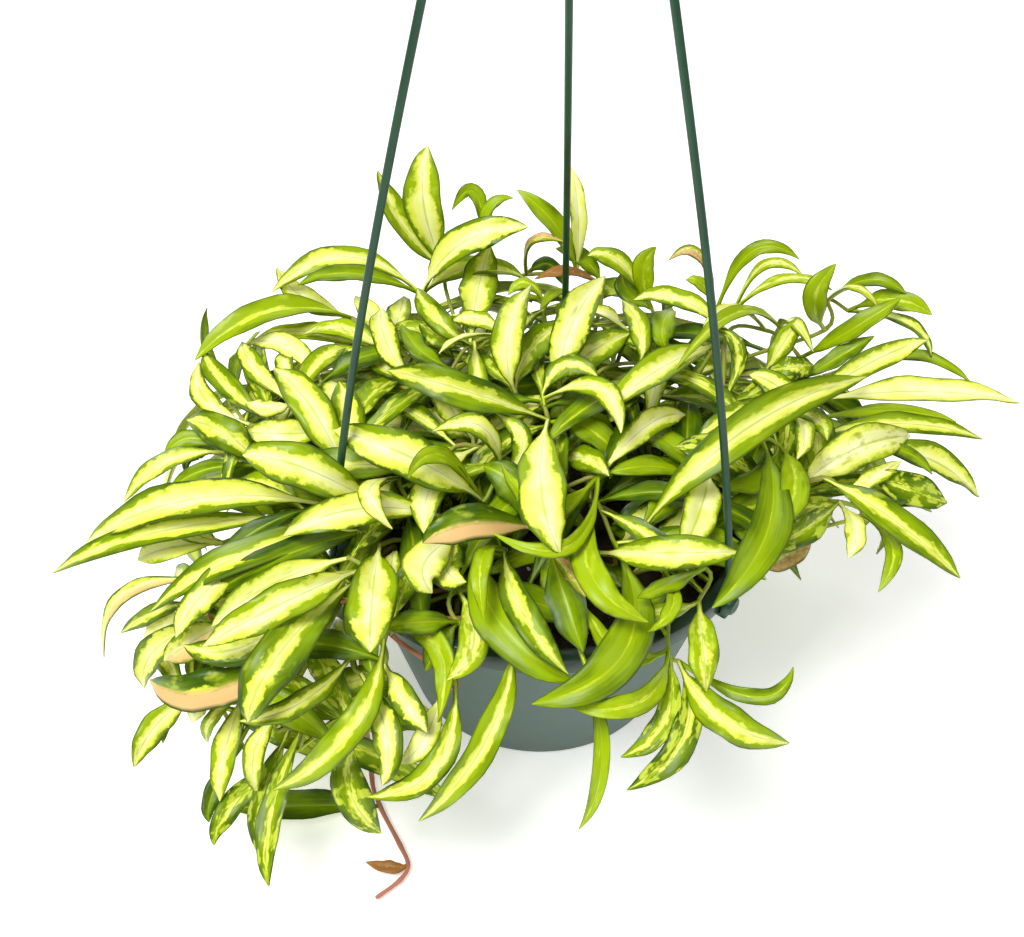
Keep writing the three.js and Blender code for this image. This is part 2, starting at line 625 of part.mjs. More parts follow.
// A blade from its place on the stem, over the middle of its midrib, to its tip
function blade(base, middle, tip, wide, facing, stations) {
  const control = middle.clone().multiplyScalar(2).addScaledVector(base, -0.5).addScaledVector(tip, -0.5);
  const rib = new THREE.QuadraticBezierCurve3(base, control, tip);
  const places = [];
  for (const t of stations) {
    const along = rib.getTangent(t);
    const side = along.clone().cross(facing).normalize();
    const up = side.clone().cross(along);
    const share = Math.max(0, (t - PETIOLE_SHARE) / (1 - PETIOLE_SHARE));
    const broad = wide * Math.sin(Math.PI * share ** 0.8) ** 0.8;
    const width = t === 0 ? STALK_WIDTH : Math.max(PETIOLE_WIDTH, broad);
    const thick = t === 0 ? STALK_THICKNESS : BLADE_THICKNESS;
    const fold = t === 0 ? 0 : width * BLADE_FOLD;
    const rest = rib.getPoint(t);
    places.push(
      rest.clone().addScaledVector(side, -width / 2).addScaledVector(up, fold),
      rest.clone().addScaledVector(up, thick / 2),
      rest.clone().addScaledVector(side, width / 2).addScaledVector(up, fold),
      rest.clone().addScaledVector(up, -thick / 2),
    );
  }
  places.push(tip);
  const faces = [0, 2, 1, 0, 3, 2];
  const last = places.length - 1;
  for (let k = 0; k < 4; k += 1) {
    const next = (k + 1) % 4;
    for (let near = 0; near < last - 4; near += 4) {
      faces.push(near + k, near + next, near + 4 + next, near + k, near + 4 + next, near + 4 + k);
    }
    faces.push(last, last - 4 + k, last - 4 + next);
  }
  return new wasm.Manifold(
    new wasm.Mesh({
      numProp: 3,
      vertProperties: new Float32Array(places.flatMap((p) => p.toArray())),
      triVerts: new Uint32Array(faces),
    }),
  );
}

// A stem's line, through evenly counted nodes
function stemPoint(nodes, at) {
  const k = Math.min(Math.max(Math.floor(at), 0), nodes.length - 2);
  const t = Math.min(at, nodes.length - 1) - k;
  const p1 = nodes[k];
  const p2 = nodes[k + 1];
  const p0 = k > 0 ? nodes[k - 1] : p1.clone().multiplyScalar(2).sub(p2);
  const p3 = k + 2 < nodes.length ? nodes[k + 2] : p2.clone().multiplyScalar(2).sub(p1);
  const point = new THREE.Vector3()
    .addScaledVector(p0, (-t + 2 * t * t - t * t * t) / 2)
    .addScaledVector(p1, (2 - 5 * t * t + 3 * t * t * t) / 2)
    .addScaledVector(p2, (t + 4 * t * t - 3 * t * t * t) / 2)
    .addScaledVector(p3, (-t * t + t * t * t) / 2);
  return point.setZ(Math.max(point.z, FLOOR_CLEARANCE + STEM_RADIUS));
}

// A place on the axis of the stem's solid, which is straight from each of its rings to the next
function stalkPlace(nodes, at) {
  const ring = Math.min(2 * at, 2 * (nodes.length - 1) - STALK_SETBACK);
  const low = Math.floor(ring);
  return stemPoint(nodes, low / 2).lerp(stemPoint(nodes, (low + 1) / 2), ring - low);
}

class StemCurve extends THREE.Curve {
  constructor(nodes) {
    super();
    this.nodes = nodes;
  }
  getPoint(t) {
    return stemPoint(this.nodes, t * (this.nodes.length - 1));
  }
  // The rings stand at the nodes, so that it is straight in the soil, and above it also half way between.
  getUtoTmapping(u) {
    const spans = this.nodes.length - 1;
    const ring = u * ringCount(this.nodes);
    return (ring < STRAIGHT_SPANS ? ring : (ring + STRAIGHT_SPANS) / 2) / spans;
  }
}

function ringCount(nodes) {
  return 2 * (nodes.length - 1) - STRAIGHT_SPANS;
}

function stemSolid(nodes) {
  return solidOf(tube(new StemCurve(nodes), STEM_RADIUS, STEM_SIDES, ringCount(nodes)));
}

// The way from a hole in the soil to the first leaf, over the rim where the leaf hangs outside it
function rootedNodes(hole, leafNodes, rimTurn) {
  const [x, y] = hole;
  const first = leafNodes[0];
  const nodes = [SOIL_TOP - HOLE_DEPTH, SOIL_TOP + 3, SOIL_TOP + 13].map((height) => vec(x, y, height));
  const reach = Math.hypot(first.x, first.y);
  const rimHeight = POT_HEIGHT + STEM_OVER_RIM;
  if (reach > RIM_RADIUS + RIM_MARGIN) {
    const over = vec(first.x, first.y, 0).multiplyScalar(RIM_RADIUS / reach);
    over.applyAxisAngle(vec(0, 0, 1), radians(rimTurn));
    const share = Math.min(1, (reach - RIM_RADIUS) / RIM_EASE);
    over.z = Math.max(rimHeight, rimHeight * (1 - share) + first.z * share);
    nodes.push(over);
  }
  return nodes.concat(leafNodes);
}

function isInOval([u, v]) {
  return Math.hypot((u - OVAL_CENTRE[0]) / OVAL_RADII[0], (v - OVAL_CENTRE[1]) / OVAL_RADII[1]) < 1;
}

function coveredLeaf({ from, over, to, wide, near, index }, draw) {
  const turn = radians((draw() < 0.5 ? -1 : 1) * (24 + 34 * draw()));
  const reach = 0.7 + 0.2 * draw();
  const aside = ([u, v]) => {
    const along = u - from[0];
    const down = v - from[1];
    return [
      from[0] + reach * (along * Math.cos(turn) - down * Math.sin(turn)),
      from[1] + reach * (along * Math.sin(turn) + down * Math.cos(turn)),
    ];
  };
  const depth = 12 + 10 * draw();
  const width = Math.min(18, Math.max(11, wide * (0.8 + 0.4 * draw())));
  const kept = draw() < COVERED_SHARE;
  return { from, over: aside(over), to: aside(to), wide: width, near: near - depth, index, covered: true, kept };
}

// A vine seen from the viewpoint: its nodes lie under the leaves that spring from them.
function seenVine(name, leaves, seed) {
  const draw = drawer(seed);
  const groups = [];
  for (const leaf of leaves) {
    const last = groups[groups.length - 1];
    const [u, v] = leaf.from;
    if (last && Math.hypot(u - last.at[0], v - last.at[1]) < SAME_NODE_PIXELS) last.leaves.push(leaf);
    else groups.push({ at: leaf.from, leaves: [leaf] });
  }
  const place = (depth) => groups.map((group) => seen(group.at, -depth));
  const grown = groups.flatMap((group, index) => group.leaves.map((leaf) => ({ ...leaf, index })));
  const covered = grown.map((leaf) => coveredLeaf(leaf, draw))
    .filter((leaf) => leaf.kept && isInOval(leaf.from) && isInOval(leaf.to));
  const shapes = grown.concat(covered)
    .map((leaf) => ({
      index: leaf.index,
      rank: leaf.covered ? COVERED_RANK : leaf.near + leaf.wide,
      wide: leaf.wide,
      turn: leaf.turn || 0,
      middle: (lift) => seen(leaf.over, leaf.near + lift),
      tip: (lift) => seen(leaf.to, leaf.near + lift),
      facing: (middle) => {
        const towards = VIEW_POINT.clone().sub(middle).normalize();
        return outwardAt(middle).multiplyScalar(0.6).addScaledVector(towards, 0.8).normalize();
      },
    }));
  return { name, place, shapes };
}

// The trailing vine, whose leaves lie on the surface
function trailingVine() {
  const low = FLOOR_CLEARANCE + STEM_RADIUS;
  const place = () => TRAILING_VINE.stops.map((stop) => onFloor(stop, low));
  const shapes = TRAILING_VINE.leaves.map(({ at, over, to, wide }) => ({
    index: at,
    rank: TRAILING_RANK,
    wide,
    turn: 0,
    middle: (lift) => onFloor(over, low + 0.5 + Math.abs(lift)),
    tip: (lift) => onFloor(to, low + 0.5 + Math.abs(lift)),
    facing: () => vec(0, 0, 1),
  }));
  return { name: "trailing", place, shapes };
}

// A place on the mound, by bearing and by the angle down from its top, at a share of its size
function onMound(bearing, down, share) {
  const outward = vec(
    Math.cos(radians(bearing)) * Math.sin(radians(down)),
    Math.sin(radians(bearing)) * Math.sin(radians(down)),
    Math.cos(radians(down)),
  );
  const place = outward.multiply(MOUND_RADII).multiplyScalar(share).add(MOUND_CENTRE);
  place.z = Math.max(place.z, FLOOR_CLEARANCE + 1);
  return place;
}

// A vine on the hidden side, with a pair of leaves at every node
function hiddenVine(name, { bearing, reach, size = 0.94, fall = 20 }, seed) {
  const draw = drawer(seed);
  const stops = [];
  for (const share of HIDDEN_NODES) stops.push([bearing + 10 * (draw() - 0.5), reach * share]);
  const place = (depth) => stops.map(([turn, down]) => onMound(turn, down, size + 0.06 - depth / 130));
  const shapes = [];
  stops.forEach(([turn, down], index) => {
    const ends = index === HIDDEN_NODES.length - 1 ? [-1, 0, 1] : [-1, 1];
    for (const hand of ends) {
      const spread = hand * (18 + 12 * draw());
      const drop = fall + 14 * draw() + (hand === 0 ? 10 : 0);
      const wide = 13 + 8 * draw();
      const share = size + 0.08 * draw();
      shapes.push({
        index,
        rank: HIDDEN_RANK,
        wide,
        turn: 24 * (draw() - 0.5),
        middle: (lift) => onMound(turn + spread * 0.55, down + drop * 0.5, share + lift / 150),
        tip: (lift) => onMound(turn + spread, down + drop, share - 0.03 + lift / 150),
        facing: (middle) => outwardAt(middle).addScaledVector(vec(0, 0, 1), 0.25).normalize(),
      });
    }
  });
  return { name, place, shapes };
}

function boxesMeet(a, b, gap) {
  for (let i = 0; i < 3; i += 1) {
    if (a.min[i] > b.max[i] + gap || b.min[i] > a.max[i] + gap) return false;
  }
  return true;
}

function isClear(solid, others) {
  const box = solid.boundingBox();
  if (box.min[2] < FLOOR_MARGIN) return false;
  return others.every(
    (other) => !boxesMeet(box, other.box, CLEARANCE) || solid.minGap(other.solid, CLEARANCE) >= CLEARANCE,
  );
}

// The first way for a stem, by hole, by bearing over the rim and by depth, that is clear of what is placed
function rootStem(vine, choices, placed, block) {
  for (const hole of choices) {
    for (const rimTurn of RIM_TURNS) {
      for (const depth of STEM_DEPTHS) {
        const nodes = rootedNodes(hole, vine.place(depth), rimTurn);
        const solid = stemSolid(nodes);
        if (isClear(solid, placed) && isClear(stemSolid(nodes.slice(1)), [block])) return { hole, nodes, solid };
      }
    }
  }
  return null;
}

function growFoliage(fixed) {
  const vines = Object.entries(VINES).map(([name, leaves], i) => seenVine(name, leaves, 900 + i));
  vines.unshift(trailingVine());
  Object.entries(HIDDEN_VINES).forEach(([name, where], i) => vines.push(hiddenVine(name, where, 500 + i)));
  const free = [];
  for (let i = 0; i < HOLE_COUNT; i += 1) free.push(holePlace(i));
  const placed = fixed.map((solid) => ({ solid, box: solid.boundingBox(), owner: "fixed" }));
  const filling = soilBlock();
  const block = { solid: filling, box: filling.boundingBox(), owner: "soil" };
  const holes = [];
  const frontmost = (vine) => Math.max(...vine.shapes.map((shape) => shape.rank));
  vines.sort((p, q) => frontmost(q) - frontmost(p));
  for (const vine of vines) {
    const aim = vine.place(STEM_DEPTHS[0])[0];
    const scale = Math.min(0.6, 80 / Math.hypot(aim.x, aim.y));
    free.sort((p, q) =>
      Math.hypot(p[0] - aim.x * scale, p[1] - aim.y * scale) -
      Math.hypot(q[0] - aim.x * scale, q[1] - aim.y * scale));
    const chosen = rootStem(vine, free.slice(0, HOLE_CHOICES), placed, block);
    if (!chosen) {
      vine.parts = [];
      continue;
    }
    free.splice(free.indexOf(chosen.hole), 1);
    holes.push(chosen.hole);
    vine.nodes = chosen.nodes;
    vine.parts = [chosen.solid];
    placed.push({ solid: chosen.solid, box: chosen.solid.boundingBox(), owner: vine.name });
  }
  placed.push(block);
  const rooted = vines.filter((vine) => vine.parts.length > 0);
  const shapes = rooted.flatMap((vine) => vine.shapes.map((shape) => ({ ...shape, vine })));
  shapes.sort((p, q) => q.rank - p.rank);
  for (const shape of shapes) {
    const mayTouch = shape.rank > 0;
    const solid = placeLeaf(shape, placed, true) || (mayTouch && placeLeaf(shape, placed, false));
    if (!solid) continue;
    shape.vine.parts.push(solid);
    placed.push({ solid, box: solid.boundingBox(), owner: shape.vine.name });
  }
  return { vines: rooted.filter((vine) => vine.parts.length > 1), holes };
}

function stationsOf({ rank }) {
  return rank < FRONT_RANK ? REAR_STATIONS : FRONT_STATIONS;
}

// A leaf stays clear of all other vines. Its own vine it may touch, but at first only about its stalk.
function placeLeaf(shape, placed, strict) {
  const { vine } = shape;
  const bare = vine.nodes.length - vine.place(0).length;
  const others = placed.filter((other) => other.owner !== vine.name);
  const own = placed.filter((other) => other.owner === vine.name).slice(1);
  for (const shift of STEM_SHIFTS) {
    const base = stalkPlace(vine.nodes, shape.index + bare + shift);
    for (const [middleLift, tipLift] of LIFTS) {
      const middle = shape.middle(middleLift);
      const tip = shape.tip(tipLift);
      const along = tip.clone().sub(base).normalize();
      const facing = shape.facing(middle);
      facing.addScaledVector(along, -along.dot(facing)).normalize();
      facing.applyAxisAngle(along, radians(shape.turn));
      const solid = blade(base, middle, tip, shape.wide, facing, stationsOf(shape));
      if (!isClear(solid, others)) continue;
      if (!strict || own.every((other) => solid.intersect(other.solid).volume() < TOUCH_VOLUME)) return solid;
    }
  }
  return null;
}

// Whether a solid stays closed when its places are written to so many decimals of a millimetre
function staysClosed(solid, decimals) {
  const { numProp, numVert, vertProperties, triVerts } = solid.getMesh();
  const names = [];
  for (let i = 0; i < numVert; i += 1) {
    const place = vertProperties.subarray(i * numProp, i * numProp + 3);
    names.push([...place].map((value) => value.toFixed(decimals)).join(" "));
  }
  const edges = new Map();
  for (let i = 0; i < triVerts.length; i += 3) {
    const corners = [...triVerts.subarray(i, i + 3)].map((vertex) => names[vertex]);
    if (new Set(corners).size < 3) continue;
    corners.forEach((corner, k) => {
      const edge = `${corner}|${corners[(k + 1) % 3]}`;
      edges.set(edge, (edges.get(edge) || 0) + 1);
    });
  }
  return [...edges].every(([edge, count]) => count === 1 && edges.get(edge.split("|").reverse().join("|")) === 1);
}

// One solid of a stem and its leaves. Leaves are nudged where their crossings nearly meet in one point.
function fused(parts) {
  const merged = [];
  for (const nudge of NUDGES) {
    const moved = parts.map((part, i) => part.translate([0, 0, nudge * (i % 3)]));
    const whole = wasm.Manifold.union(moved);
    merged.push(...MERGE_DISTANCES.map((distance) => whole.simplify(distance)));
  }
  const isSound = (solid) =>
    solid.decompose().length === 1 && ROUNDINGS.every((decimals) => staysClosed(solid, decimals));
  return merged.find(isSound) || merged[0];
}

// The whole, with each sub-part in its own colour
function material(color, roughness, metalness = 0) {
  return new THREE.MeshStandardMaterial({ color, roughness, metalness });
}

const POT_GREEN = material(0x2f4a43, 0.45);
const HANGER_GREEN = material(0x214a36, 0.4);
const SOIL_BROWN = material(0x2a1d14, 0.95);
const LEAF_GREENS = [material(0xb9cf4a, 0.4), material(0xd8e07a, 0.4), material(0x8fb321, 0.4)];

const assembly = new THREE.Group();

function addPart(parent, name, solid, finish) {
  const mesh = new THREE.Mesh(geometryOf(solid), finish);
  mesh.name = name;
  parent.add(mesh);
}

const basket = new THREE.Group();
const foliage = new THREE.Group();
const potSolid = pot();
const arms = armAngles().map(arm);
const hookSolid = hook();
const { vines, holes } = growFoliage([potSolid, ...arms, hookSolid]);
const soilSolid = soil(holes);

addPart(basket, "pot", potSolid, POT_GREEN);
addPart(basket, "soil", soilSolid, SOIL_BROWN);
["hanger_arm_back", "hanger_arm_left", "hanger_arm_right"].forEach((name, i) => {
  addPart(basket, name, arms[i], HANGER_GREEN);
});
addPart(basket, "hanger_hook", hookSolid, HANGER_GREEN);
vines.forEach((vine, i) => {
  addPart(foliage, `vine_${vine.name}`, fused(vine.parts), LEAF_GREENS[i % 3]);
});
assembly.add(basket, foliage);

export default assembly;
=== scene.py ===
# A variegated hoya in a hanging basket that stands on its base. Lengths are in millimetres, times MM where
# Blender takes them, and pixels are the photograph's. The foliage's values are those of the CAD source.
import math
from dataclasses import dataclass

import bpy
import numpy as np
from mathutils import Matrix, Vector, noise
from mathutils.bvhtree import BVHTree


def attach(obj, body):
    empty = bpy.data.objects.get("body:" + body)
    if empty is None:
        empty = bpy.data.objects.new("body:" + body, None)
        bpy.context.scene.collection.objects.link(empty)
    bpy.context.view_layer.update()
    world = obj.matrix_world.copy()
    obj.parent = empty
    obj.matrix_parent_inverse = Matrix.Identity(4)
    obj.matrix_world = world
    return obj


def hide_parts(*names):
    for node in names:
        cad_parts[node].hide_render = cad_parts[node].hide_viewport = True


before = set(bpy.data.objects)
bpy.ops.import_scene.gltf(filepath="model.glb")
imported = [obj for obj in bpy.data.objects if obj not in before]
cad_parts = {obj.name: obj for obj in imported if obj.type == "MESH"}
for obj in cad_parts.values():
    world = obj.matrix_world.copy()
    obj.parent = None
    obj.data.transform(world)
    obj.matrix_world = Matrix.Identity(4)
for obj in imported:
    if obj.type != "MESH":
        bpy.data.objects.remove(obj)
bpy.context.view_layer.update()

MM = 0.001


# Camera. The photograph's viewpoint, found from the basket's rim and base and the three arms, looks down
# at the basket from the front. Its picture is 1024 pixels wide.
VIEW_POINT = np.array([-14.3, -474.8, 534.0])
VIEW_ELEVATION = math.radians(40.44)
VIEW_ROLL = math.radians(0.43)
VIEW_FOCAL = 1326
VIEW_CENTRE = (512, 468.5)
PICTURE_WIDTH = 1024
SENSOR_WIDTH = 36
NEAREST_SEEN = 20

level_up = np.array([0, math.sin(VIEW_ELEVATION), math.cos(VIEW_ELEVATION)])
view_forward = np.array([0, math.cos(VIEW_ELEVATION), -math.sin(VIEW_ELEVATION)])
view_right = np.array([math.cos(VIEW_ROLL), 0, 0]) + math.sin(VIEW_ROLL) * level_up
view_up = np.array([-math.sin(VIEW_ROLL), 0, 0]) + math.cos(VIEW_ROLL) * level_up


def added(name, add, **settings):
    """What an operator adds, with its name, while nothing else is selected."""
    bpy.ops.object.select_all(action="DESELECT")
    add(**settings)
    bpy.context.object.name = name
    return bpy.context.object


camera = added("camera", bpy.ops.object.camera_add)
turned_to = Matrix(np.column_stack([view_right, view_up, -view_forward]).tolist()).to_4x4()
camera.matrix_world = Matrix.Translation(Vector(VIEW_POINT * MM)) @ turned_to
camera.data.sensor_width = SENSOR_WIDTH
camera.data.lens = SENSOR_WIDTH * VIEW_FOCAL / PICTURE_WIDTH
camera.data.clip_start = NEAREST_SEEN * MM
bpy.context.scene.camera = camera


# Floor and light. A seamless white table in a bright studio, with one large lamp high on the left and weaker
# ones on the right and behind. The table's own glow and a faint white world fill the shadows.
# A lamp has its place, what it shines on and its size in metres, and its power in watts.
FLOOR_METRES = 8
FLOOR_WHITE = (0.94, 0.94, 0.94)
FLOOR_GLOW = 0.44
WORLD_GLOW = 0.12
WHITE = (1, 1, 1)
LAMPS = {
    "key_lamp": ((-0.7, -0.7, 1.9), (0, 0, 0.1), 1.0, 48),
    "fill_lamp": ((1.3, -0.7, 1.2), (0, 0, 0.1), 1.2, 6),
    "back_lamp": ((0.2, 1.3, 1.3), (0, 0, 0.15), 1.2, 7),
}
# The sockets of a colour mixer have shared names, so they are taken by number: share, colours, result.
MIX_INPUTS = (0, 6, 7)
MIX_RESULT = 2


class Paint:
    """A material's nodes, written as sums: each Paint is one socket's value."""

    def __init__(self, tree, socket):
        self.tree = tree
        self.socket = socket

    def math(self, operation, *others, clamp=False):
        node = self.tree.nodes.new("ShaderNodeMath")
        node.operation = operation
        node.use_clamp = clamp
        for slot, value in zip(node.inputs, (self, *others)):
            join(self.tree, value, slot)
        return Paint(self.tree, node.outputs[0])

    def __add__(self, other):
        return self.math("ADD", other)

    def __sub__(self, other):
        return self.math("SUBTRACT", other)

    def __rsub__(self, other):
        return (self * -1).math("ADD", other)

    def __mul__(self, other):
        return self.math("MULTIPLY", other)

    def __abs__(self):
        return self.math("ABSOLUTE")

    __radd__ = __add__

    def ramp(self, low, high):
        """0 up to low, 1 from high on."""
        return ((self - low) * (1 / (high - low))).math("ADD", 0, clamp=True)


def join(tree, value, slot):
    if isinstance(value, Paint):
        tree.links.new(value.socket, slot)
    elif hasattr(value, "__len__") and len(value) == 3 and slot.type == "RGBA":
        slot.default_value = (*value, 1)
    else:
        slot.default_value = value


class Finish:
    """A material with one Principled surface, whose nodes are added through it."""

    def __init__(self, name, **surface):
        self.material = bpy.data.materials.new(name)
        self.material.use_nodes = True
        self.tree = self.material.node_tree
        self.surface = self.tree.nodes["Principled BSDF"]
        self.set(**surface)

    def set(self, **surface):
        for name, value in surface.items():
            join(self.tree, value, self.surface.inputs[name.replace("_", " ")])

    def node(self, kind, settings=(), out=0, **values):
        made = self.tree.nodes.new(kind)
        for name, value in dict(settings).items():
            setattr(made, name, value)
        for name, value in values.items():
            join(self.tree, value, made.inputs[name.replace("_", " ")])
        return Paint(self.tree, made.outputs[out])

    def mix(self, share, first, second):
        made = self.tree.nodes.new("ShaderNodeMix")
        made.data_type = "RGBA"
        for index, value in zip(MIX_INPUTS, (share, first, second)):
            join(self.tree, value, made.inputs[index])
        return Paint(self.tree, made.outputs[MIX_RESULT])

    def noise(self, place, scale, detail=3, roughness=0.55):
        return self.node("ShaderNodeTexNoise", Vector=place, Scale=scale, Detail=detail, Roughness=roughness)

    def places(self):
        return self.node("ShaderNodeTexCoord", out="Object")

    def held(self, name):
        """The value of this name that the mesh holds at each place."""
        return self.node("ShaderNodeAttribute", {"attribute_name": name}, out="Fac")

    def bump(self, height, strength, depth):
        self.set(Normal=self.node("ShaderNodeBump", Height=height, Strength=strength, Distance=depth * MM))


def linear(red, green, blue):
    """A colour as a screen shows it, from 0 to 255, as the renderer counts it, by the screen's own curve."""
    shares = (red / 255, green / 255, blue / 255)
    return tuple(((c + 0.055) / 1.055) ** 2.4 if c > 0.04 else c / 12.92 for c in shares)


floor = added("floor", bpy.ops.mesh.primitive_plane_add, size=FLOOR_METRES)
floor_finish = Finish("floor_white", Base_Color=FLOOR_WHITE, Roughness=0.7)
floor_finish.set(Emission_Color=WHITE, Emission_Strength=FLOOR_GLOW)
floor.data.materials.append(floor_finish.material)

for name, (place, aim, size, power) in LAMPS.items():
    lamp = added(name, bpy.ops.object.light_add, type="AREA", location=place)
    lamp.rotation_euler = (Vector(aim) - Vector(place)).to_track_quat("-Z", "Y").to_euler()
    lamp.data.size = size
    lamp.data.energy = power
world = bpy.data.worlds.new("studio")
world.use_nodes = True
background = world.node_tree.nodes["Background"]
background.inputs["Color"].default_value = (*WHITE, 1)
background.inputs["Strength"].default_value = WORLD_GLOW
bpy.context.scene.world = world
bpy.context.scene.view_settings.view_transform = "Standard"


# Basket. A moulded hunter-green pot with a plain tapering wall and a rolled rim, and six holes in its base.
# The wall is satin and a little dusty, the rim is glossier and painted a darker green: a painted reflection
# of the dark foliage.
RIM_RADIUS = 101.6
RIM_INNER_RADIUS = 95.6
RIM_DROP = 8.5
POT_HEIGHT = 109
BASE_RADIUS = 66
BASE_ROUNDING = 1.5
WALL = 1.7
LIP = 0.4
POT_SIDES = 160
DRAIN_COUNT = 6
DRAIN_SIDES = 24
DRAIN_RADIUS = 4
DRAIN_CIRCLE = 44
DRAIN_DEPTH = 10
EDGE_WIDTH = 0.5
EDGE_ANGLE = 40
SMOOTH_ANGLE = 35
POT_GREEN = linear(74, 98, 90)
RIM_PAINTED_REFLECTION = linear(34, 56, 46)
POT_DUST = linear(98, 120, 110)


def only(*objects):
    bpy.ops.object.select_all(action="DESELECT")
    for thing in objects:
        thing.select_set(True)
    bpy.context.view_layer.objects.active = objects[0]


def joined(name, *things):
    only(*things)
    bpy.ops.object.join()
    things[0].name = name
    return things[0]


def turned(name, profile, sides):
    """A solid of revolution, drawn ring by ring from a disc, with its place in its mesh."""
    radius, height = profile[0]
    made = added(
        name, bpy.ops.mesh.primitive_circle_add,
        vertices=sides, radius=radius * MM, fill_type="NGON", location=(0, 0, height * MM),
    )
    bpy.ops.object.transform_apply(location=True, rotation=False, scale=False)
    bpy.ops.object.mode_set(mode="EDIT")
    bpy.ops.mesh.select_all(action="SELECT")
    for (near_radius, near_height), (far_radius, far_height) in zip(profile, profile[1:]):
        rise = (0, 0, (far_height - near_height) * MM)
        bpy.ops.mesh.extrude_region_move(TRANSFORM_OT_translate={"value": rise})
        spread = far_radius / near_radius
        bpy.ops.transform.resize(value=(spread, spread, 1))
    bpy.ops.mesh.select_all(action="SELECT")
    bpy.ops.mesh.normals_make_consistent(inside=False)
    bpy.ops.object.mode_set(mode="OBJECT")
    return made


def apply(thing, kind, **settings):
    only(thing)
    made = thing.modifiers.new(kind.lower(), kind)
    for name, value in settings.items():
        setattr(made, name, value)
    bpy.ops.object.modifier_apply(modifier=made.name)


def dress(thing, finish, slot, *nodes):
    """Gives a piece its material, lets it ride with the object and stand for CAD nodes."""
    thing.data.materials.clear()
    thing.data.materials.append(finish.material)
    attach(thing, "root")
    if nodes:
        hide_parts(*nodes)


def smooth(thing, angle=SMOOTH_ANGLE):
    only(thing)
    bpy.ops.object.shade_smooth_by_angle(angle=math.radians(angle))


lip_inner = RIM_RADIUS - WALL
wall_top = RIM_INNER_RADIUS - LIP
under_rim = POT_HEIGHT - WALL - 0.3
# Up the outer side and down the inner one, with the small roundings of the rim.
pot_profile = [
    (BASE_RADIUS - BASE_ROUNDING, 0),
    (BASE_RADIUS, BASE_ROUNDING),
    (wall_top, under_rim),
    (lip_inner, under_rim),
    (lip_inner, POT_HEIGHT - RIM_DROP),
    (RIM_RADIUS, POT_HEIGHT - RIM_DROP),
    (RIM_RADIUS, POT_HEIGHT - 1.4),
    (RIM_RADIUS - 0.4, POT_HEIGHT - 0.5),
    (RIM_RADIUS - 1.3, POT_HEIGHT),
    (wall_top, POT_HEIGHT),
    (RIM_INNER_RADIUS - 1.5, POT_HEIGHT - 0.5),
    (wall_top - WALL, POT_HEIGHT - WALL - LIP),
    (BASE_RADIUS - WALL, WALL + BASE_ROUNDING),
    (BASE_RADIUS - WALL - 2, WALL),
]
basket = turned("basket", pot_profile, POT_SIDES)
drills = []
for i in range(DRAIN_COUNT):
    turn = math.radians(360 / DRAIN_COUNT * (i + 0.5))
    drills.append(added(
        "drill", bpy.ops.mesh.primitive_cylinder_add,
        vertices=DRAIN_SIDES, radius=DRAIN_RADIUS * MM, depth=DRAIN_DEPTH * MM,
        location=(DRAIN_CIRCLE * MM * math.cos(turn), DRAIN_CIRCLE * MM * math.sin(turn), 0),
    ))
drill = joined("drill", *drills)
apply(basket, "BOOLEAN", operation="DIFFERENCE", object=drill, solver="EXACT")
bpy.data.objects.remove(drill)
apply(
    basket, "BEVEL",
    width=EDGE_WIDTH * MM, segments=2, limit_method="ANGLE", angle_limit=math.radians(EDGE_ANGLE),
)
smooth(basket)

pot_finish = Finish("basket_plastic", Specular_IOR_Level=0.45)
at = pot_finish.places()
height = pot_finish.node("ShaderNodeSeparateXYZ", out="Z", Vector=at)
is_rim = height.ramp((POT_HEIGHT - RIM_DROP - 0.5) * MM, (POT_HEIGHT - RIM_DROP) * MM)
dust = pot_finish.noise(at, scale=38, detail=5).ramp(0.42, 0.75)
grain = pot_finish.noise(at, scale=900, detail=2)
wall_green = pot_finish.mix(dust * 0.35, POT_GREEN, POT_DUST)
# The rim's darker green is a painted reflection of the foliage, lightened in patches by dust.
pot_finish.set(
    Base_Color=pot_finish.mix(is_rim, wall_green, pot_finish.mix(dust * 0.3, RIM_PAINTED_REFLECTION, POT_GREEN)),
    Roughness=0.5 - is_rim * 0.22 + dust * 0.12,
)
pot_finish.bump(grain + dust * 0.6, strength=0.25, depth=0.2)
dress(basket, pot_finish, "basket_green", "pot")


# Soil. A peaty mix filled to a finger's width under the rim: its uneven top, with bark, grit and a few
# white grains lying on it. The stems stand in it.
SOIL_TOP = 96
SOIL_FLOOR = 2.1
SOIL_GAP = 0.35
SOIL_FOOT = 3
SOIL_SIDES = 72
SOIL_RINGS = 22
SOIL_REACH = 90
SOIL_SWELL = 1.2
SOIL_LUMPS = 1.1
SOIL_SMOOTH_ANGLE = 60
# The size of the soil's lumps, the layer of the noise that they come from and their share.
LUMP_KINDS = ((17, 3, 1), (6, 8, 0.5))
CRUMB_COUNT = 420
CRUMB_SEED = 41
CRUMB_LEAST = 0.5
CRUMB_SPREAD = 1.3
CRUMB_STRETCH = 1.6
CRUMB_FLATNESS = 0.6
CRUMB_TILT = 0.6
CRUMB_RISE = 0.25
BARK_BELOW = 0.5
WHITE_ABOVE = 0.86
BARK_SHADES = 0.7
SOIL_DARK = linear(38, 27, 18)
SOIL_BROWN = linear(70, 52, 36)
SOIL_PALE = linear(112, 88, 62)
BARK_DARK = linear(44, 30, 20)
BARK_PALE = linear(122, 92, 60)
GRAIN_WHITE = linear(214, 206, 190)
# A plain linear congruential generator.
DRAW_FACTOR = 1664525
DRAW_STEP = 1013904223
DRAW_RANGE = 2**32


def drawer(seed):
    """Repeatable draws between 0 and 1."""
    state = [seed]

    def draw():
        state[0] = (state[0] * DRAW_FACTOR + DRAW_STEP) % DRAW_RANGE
        return state[0] / DRAW_RANGE

    return draw


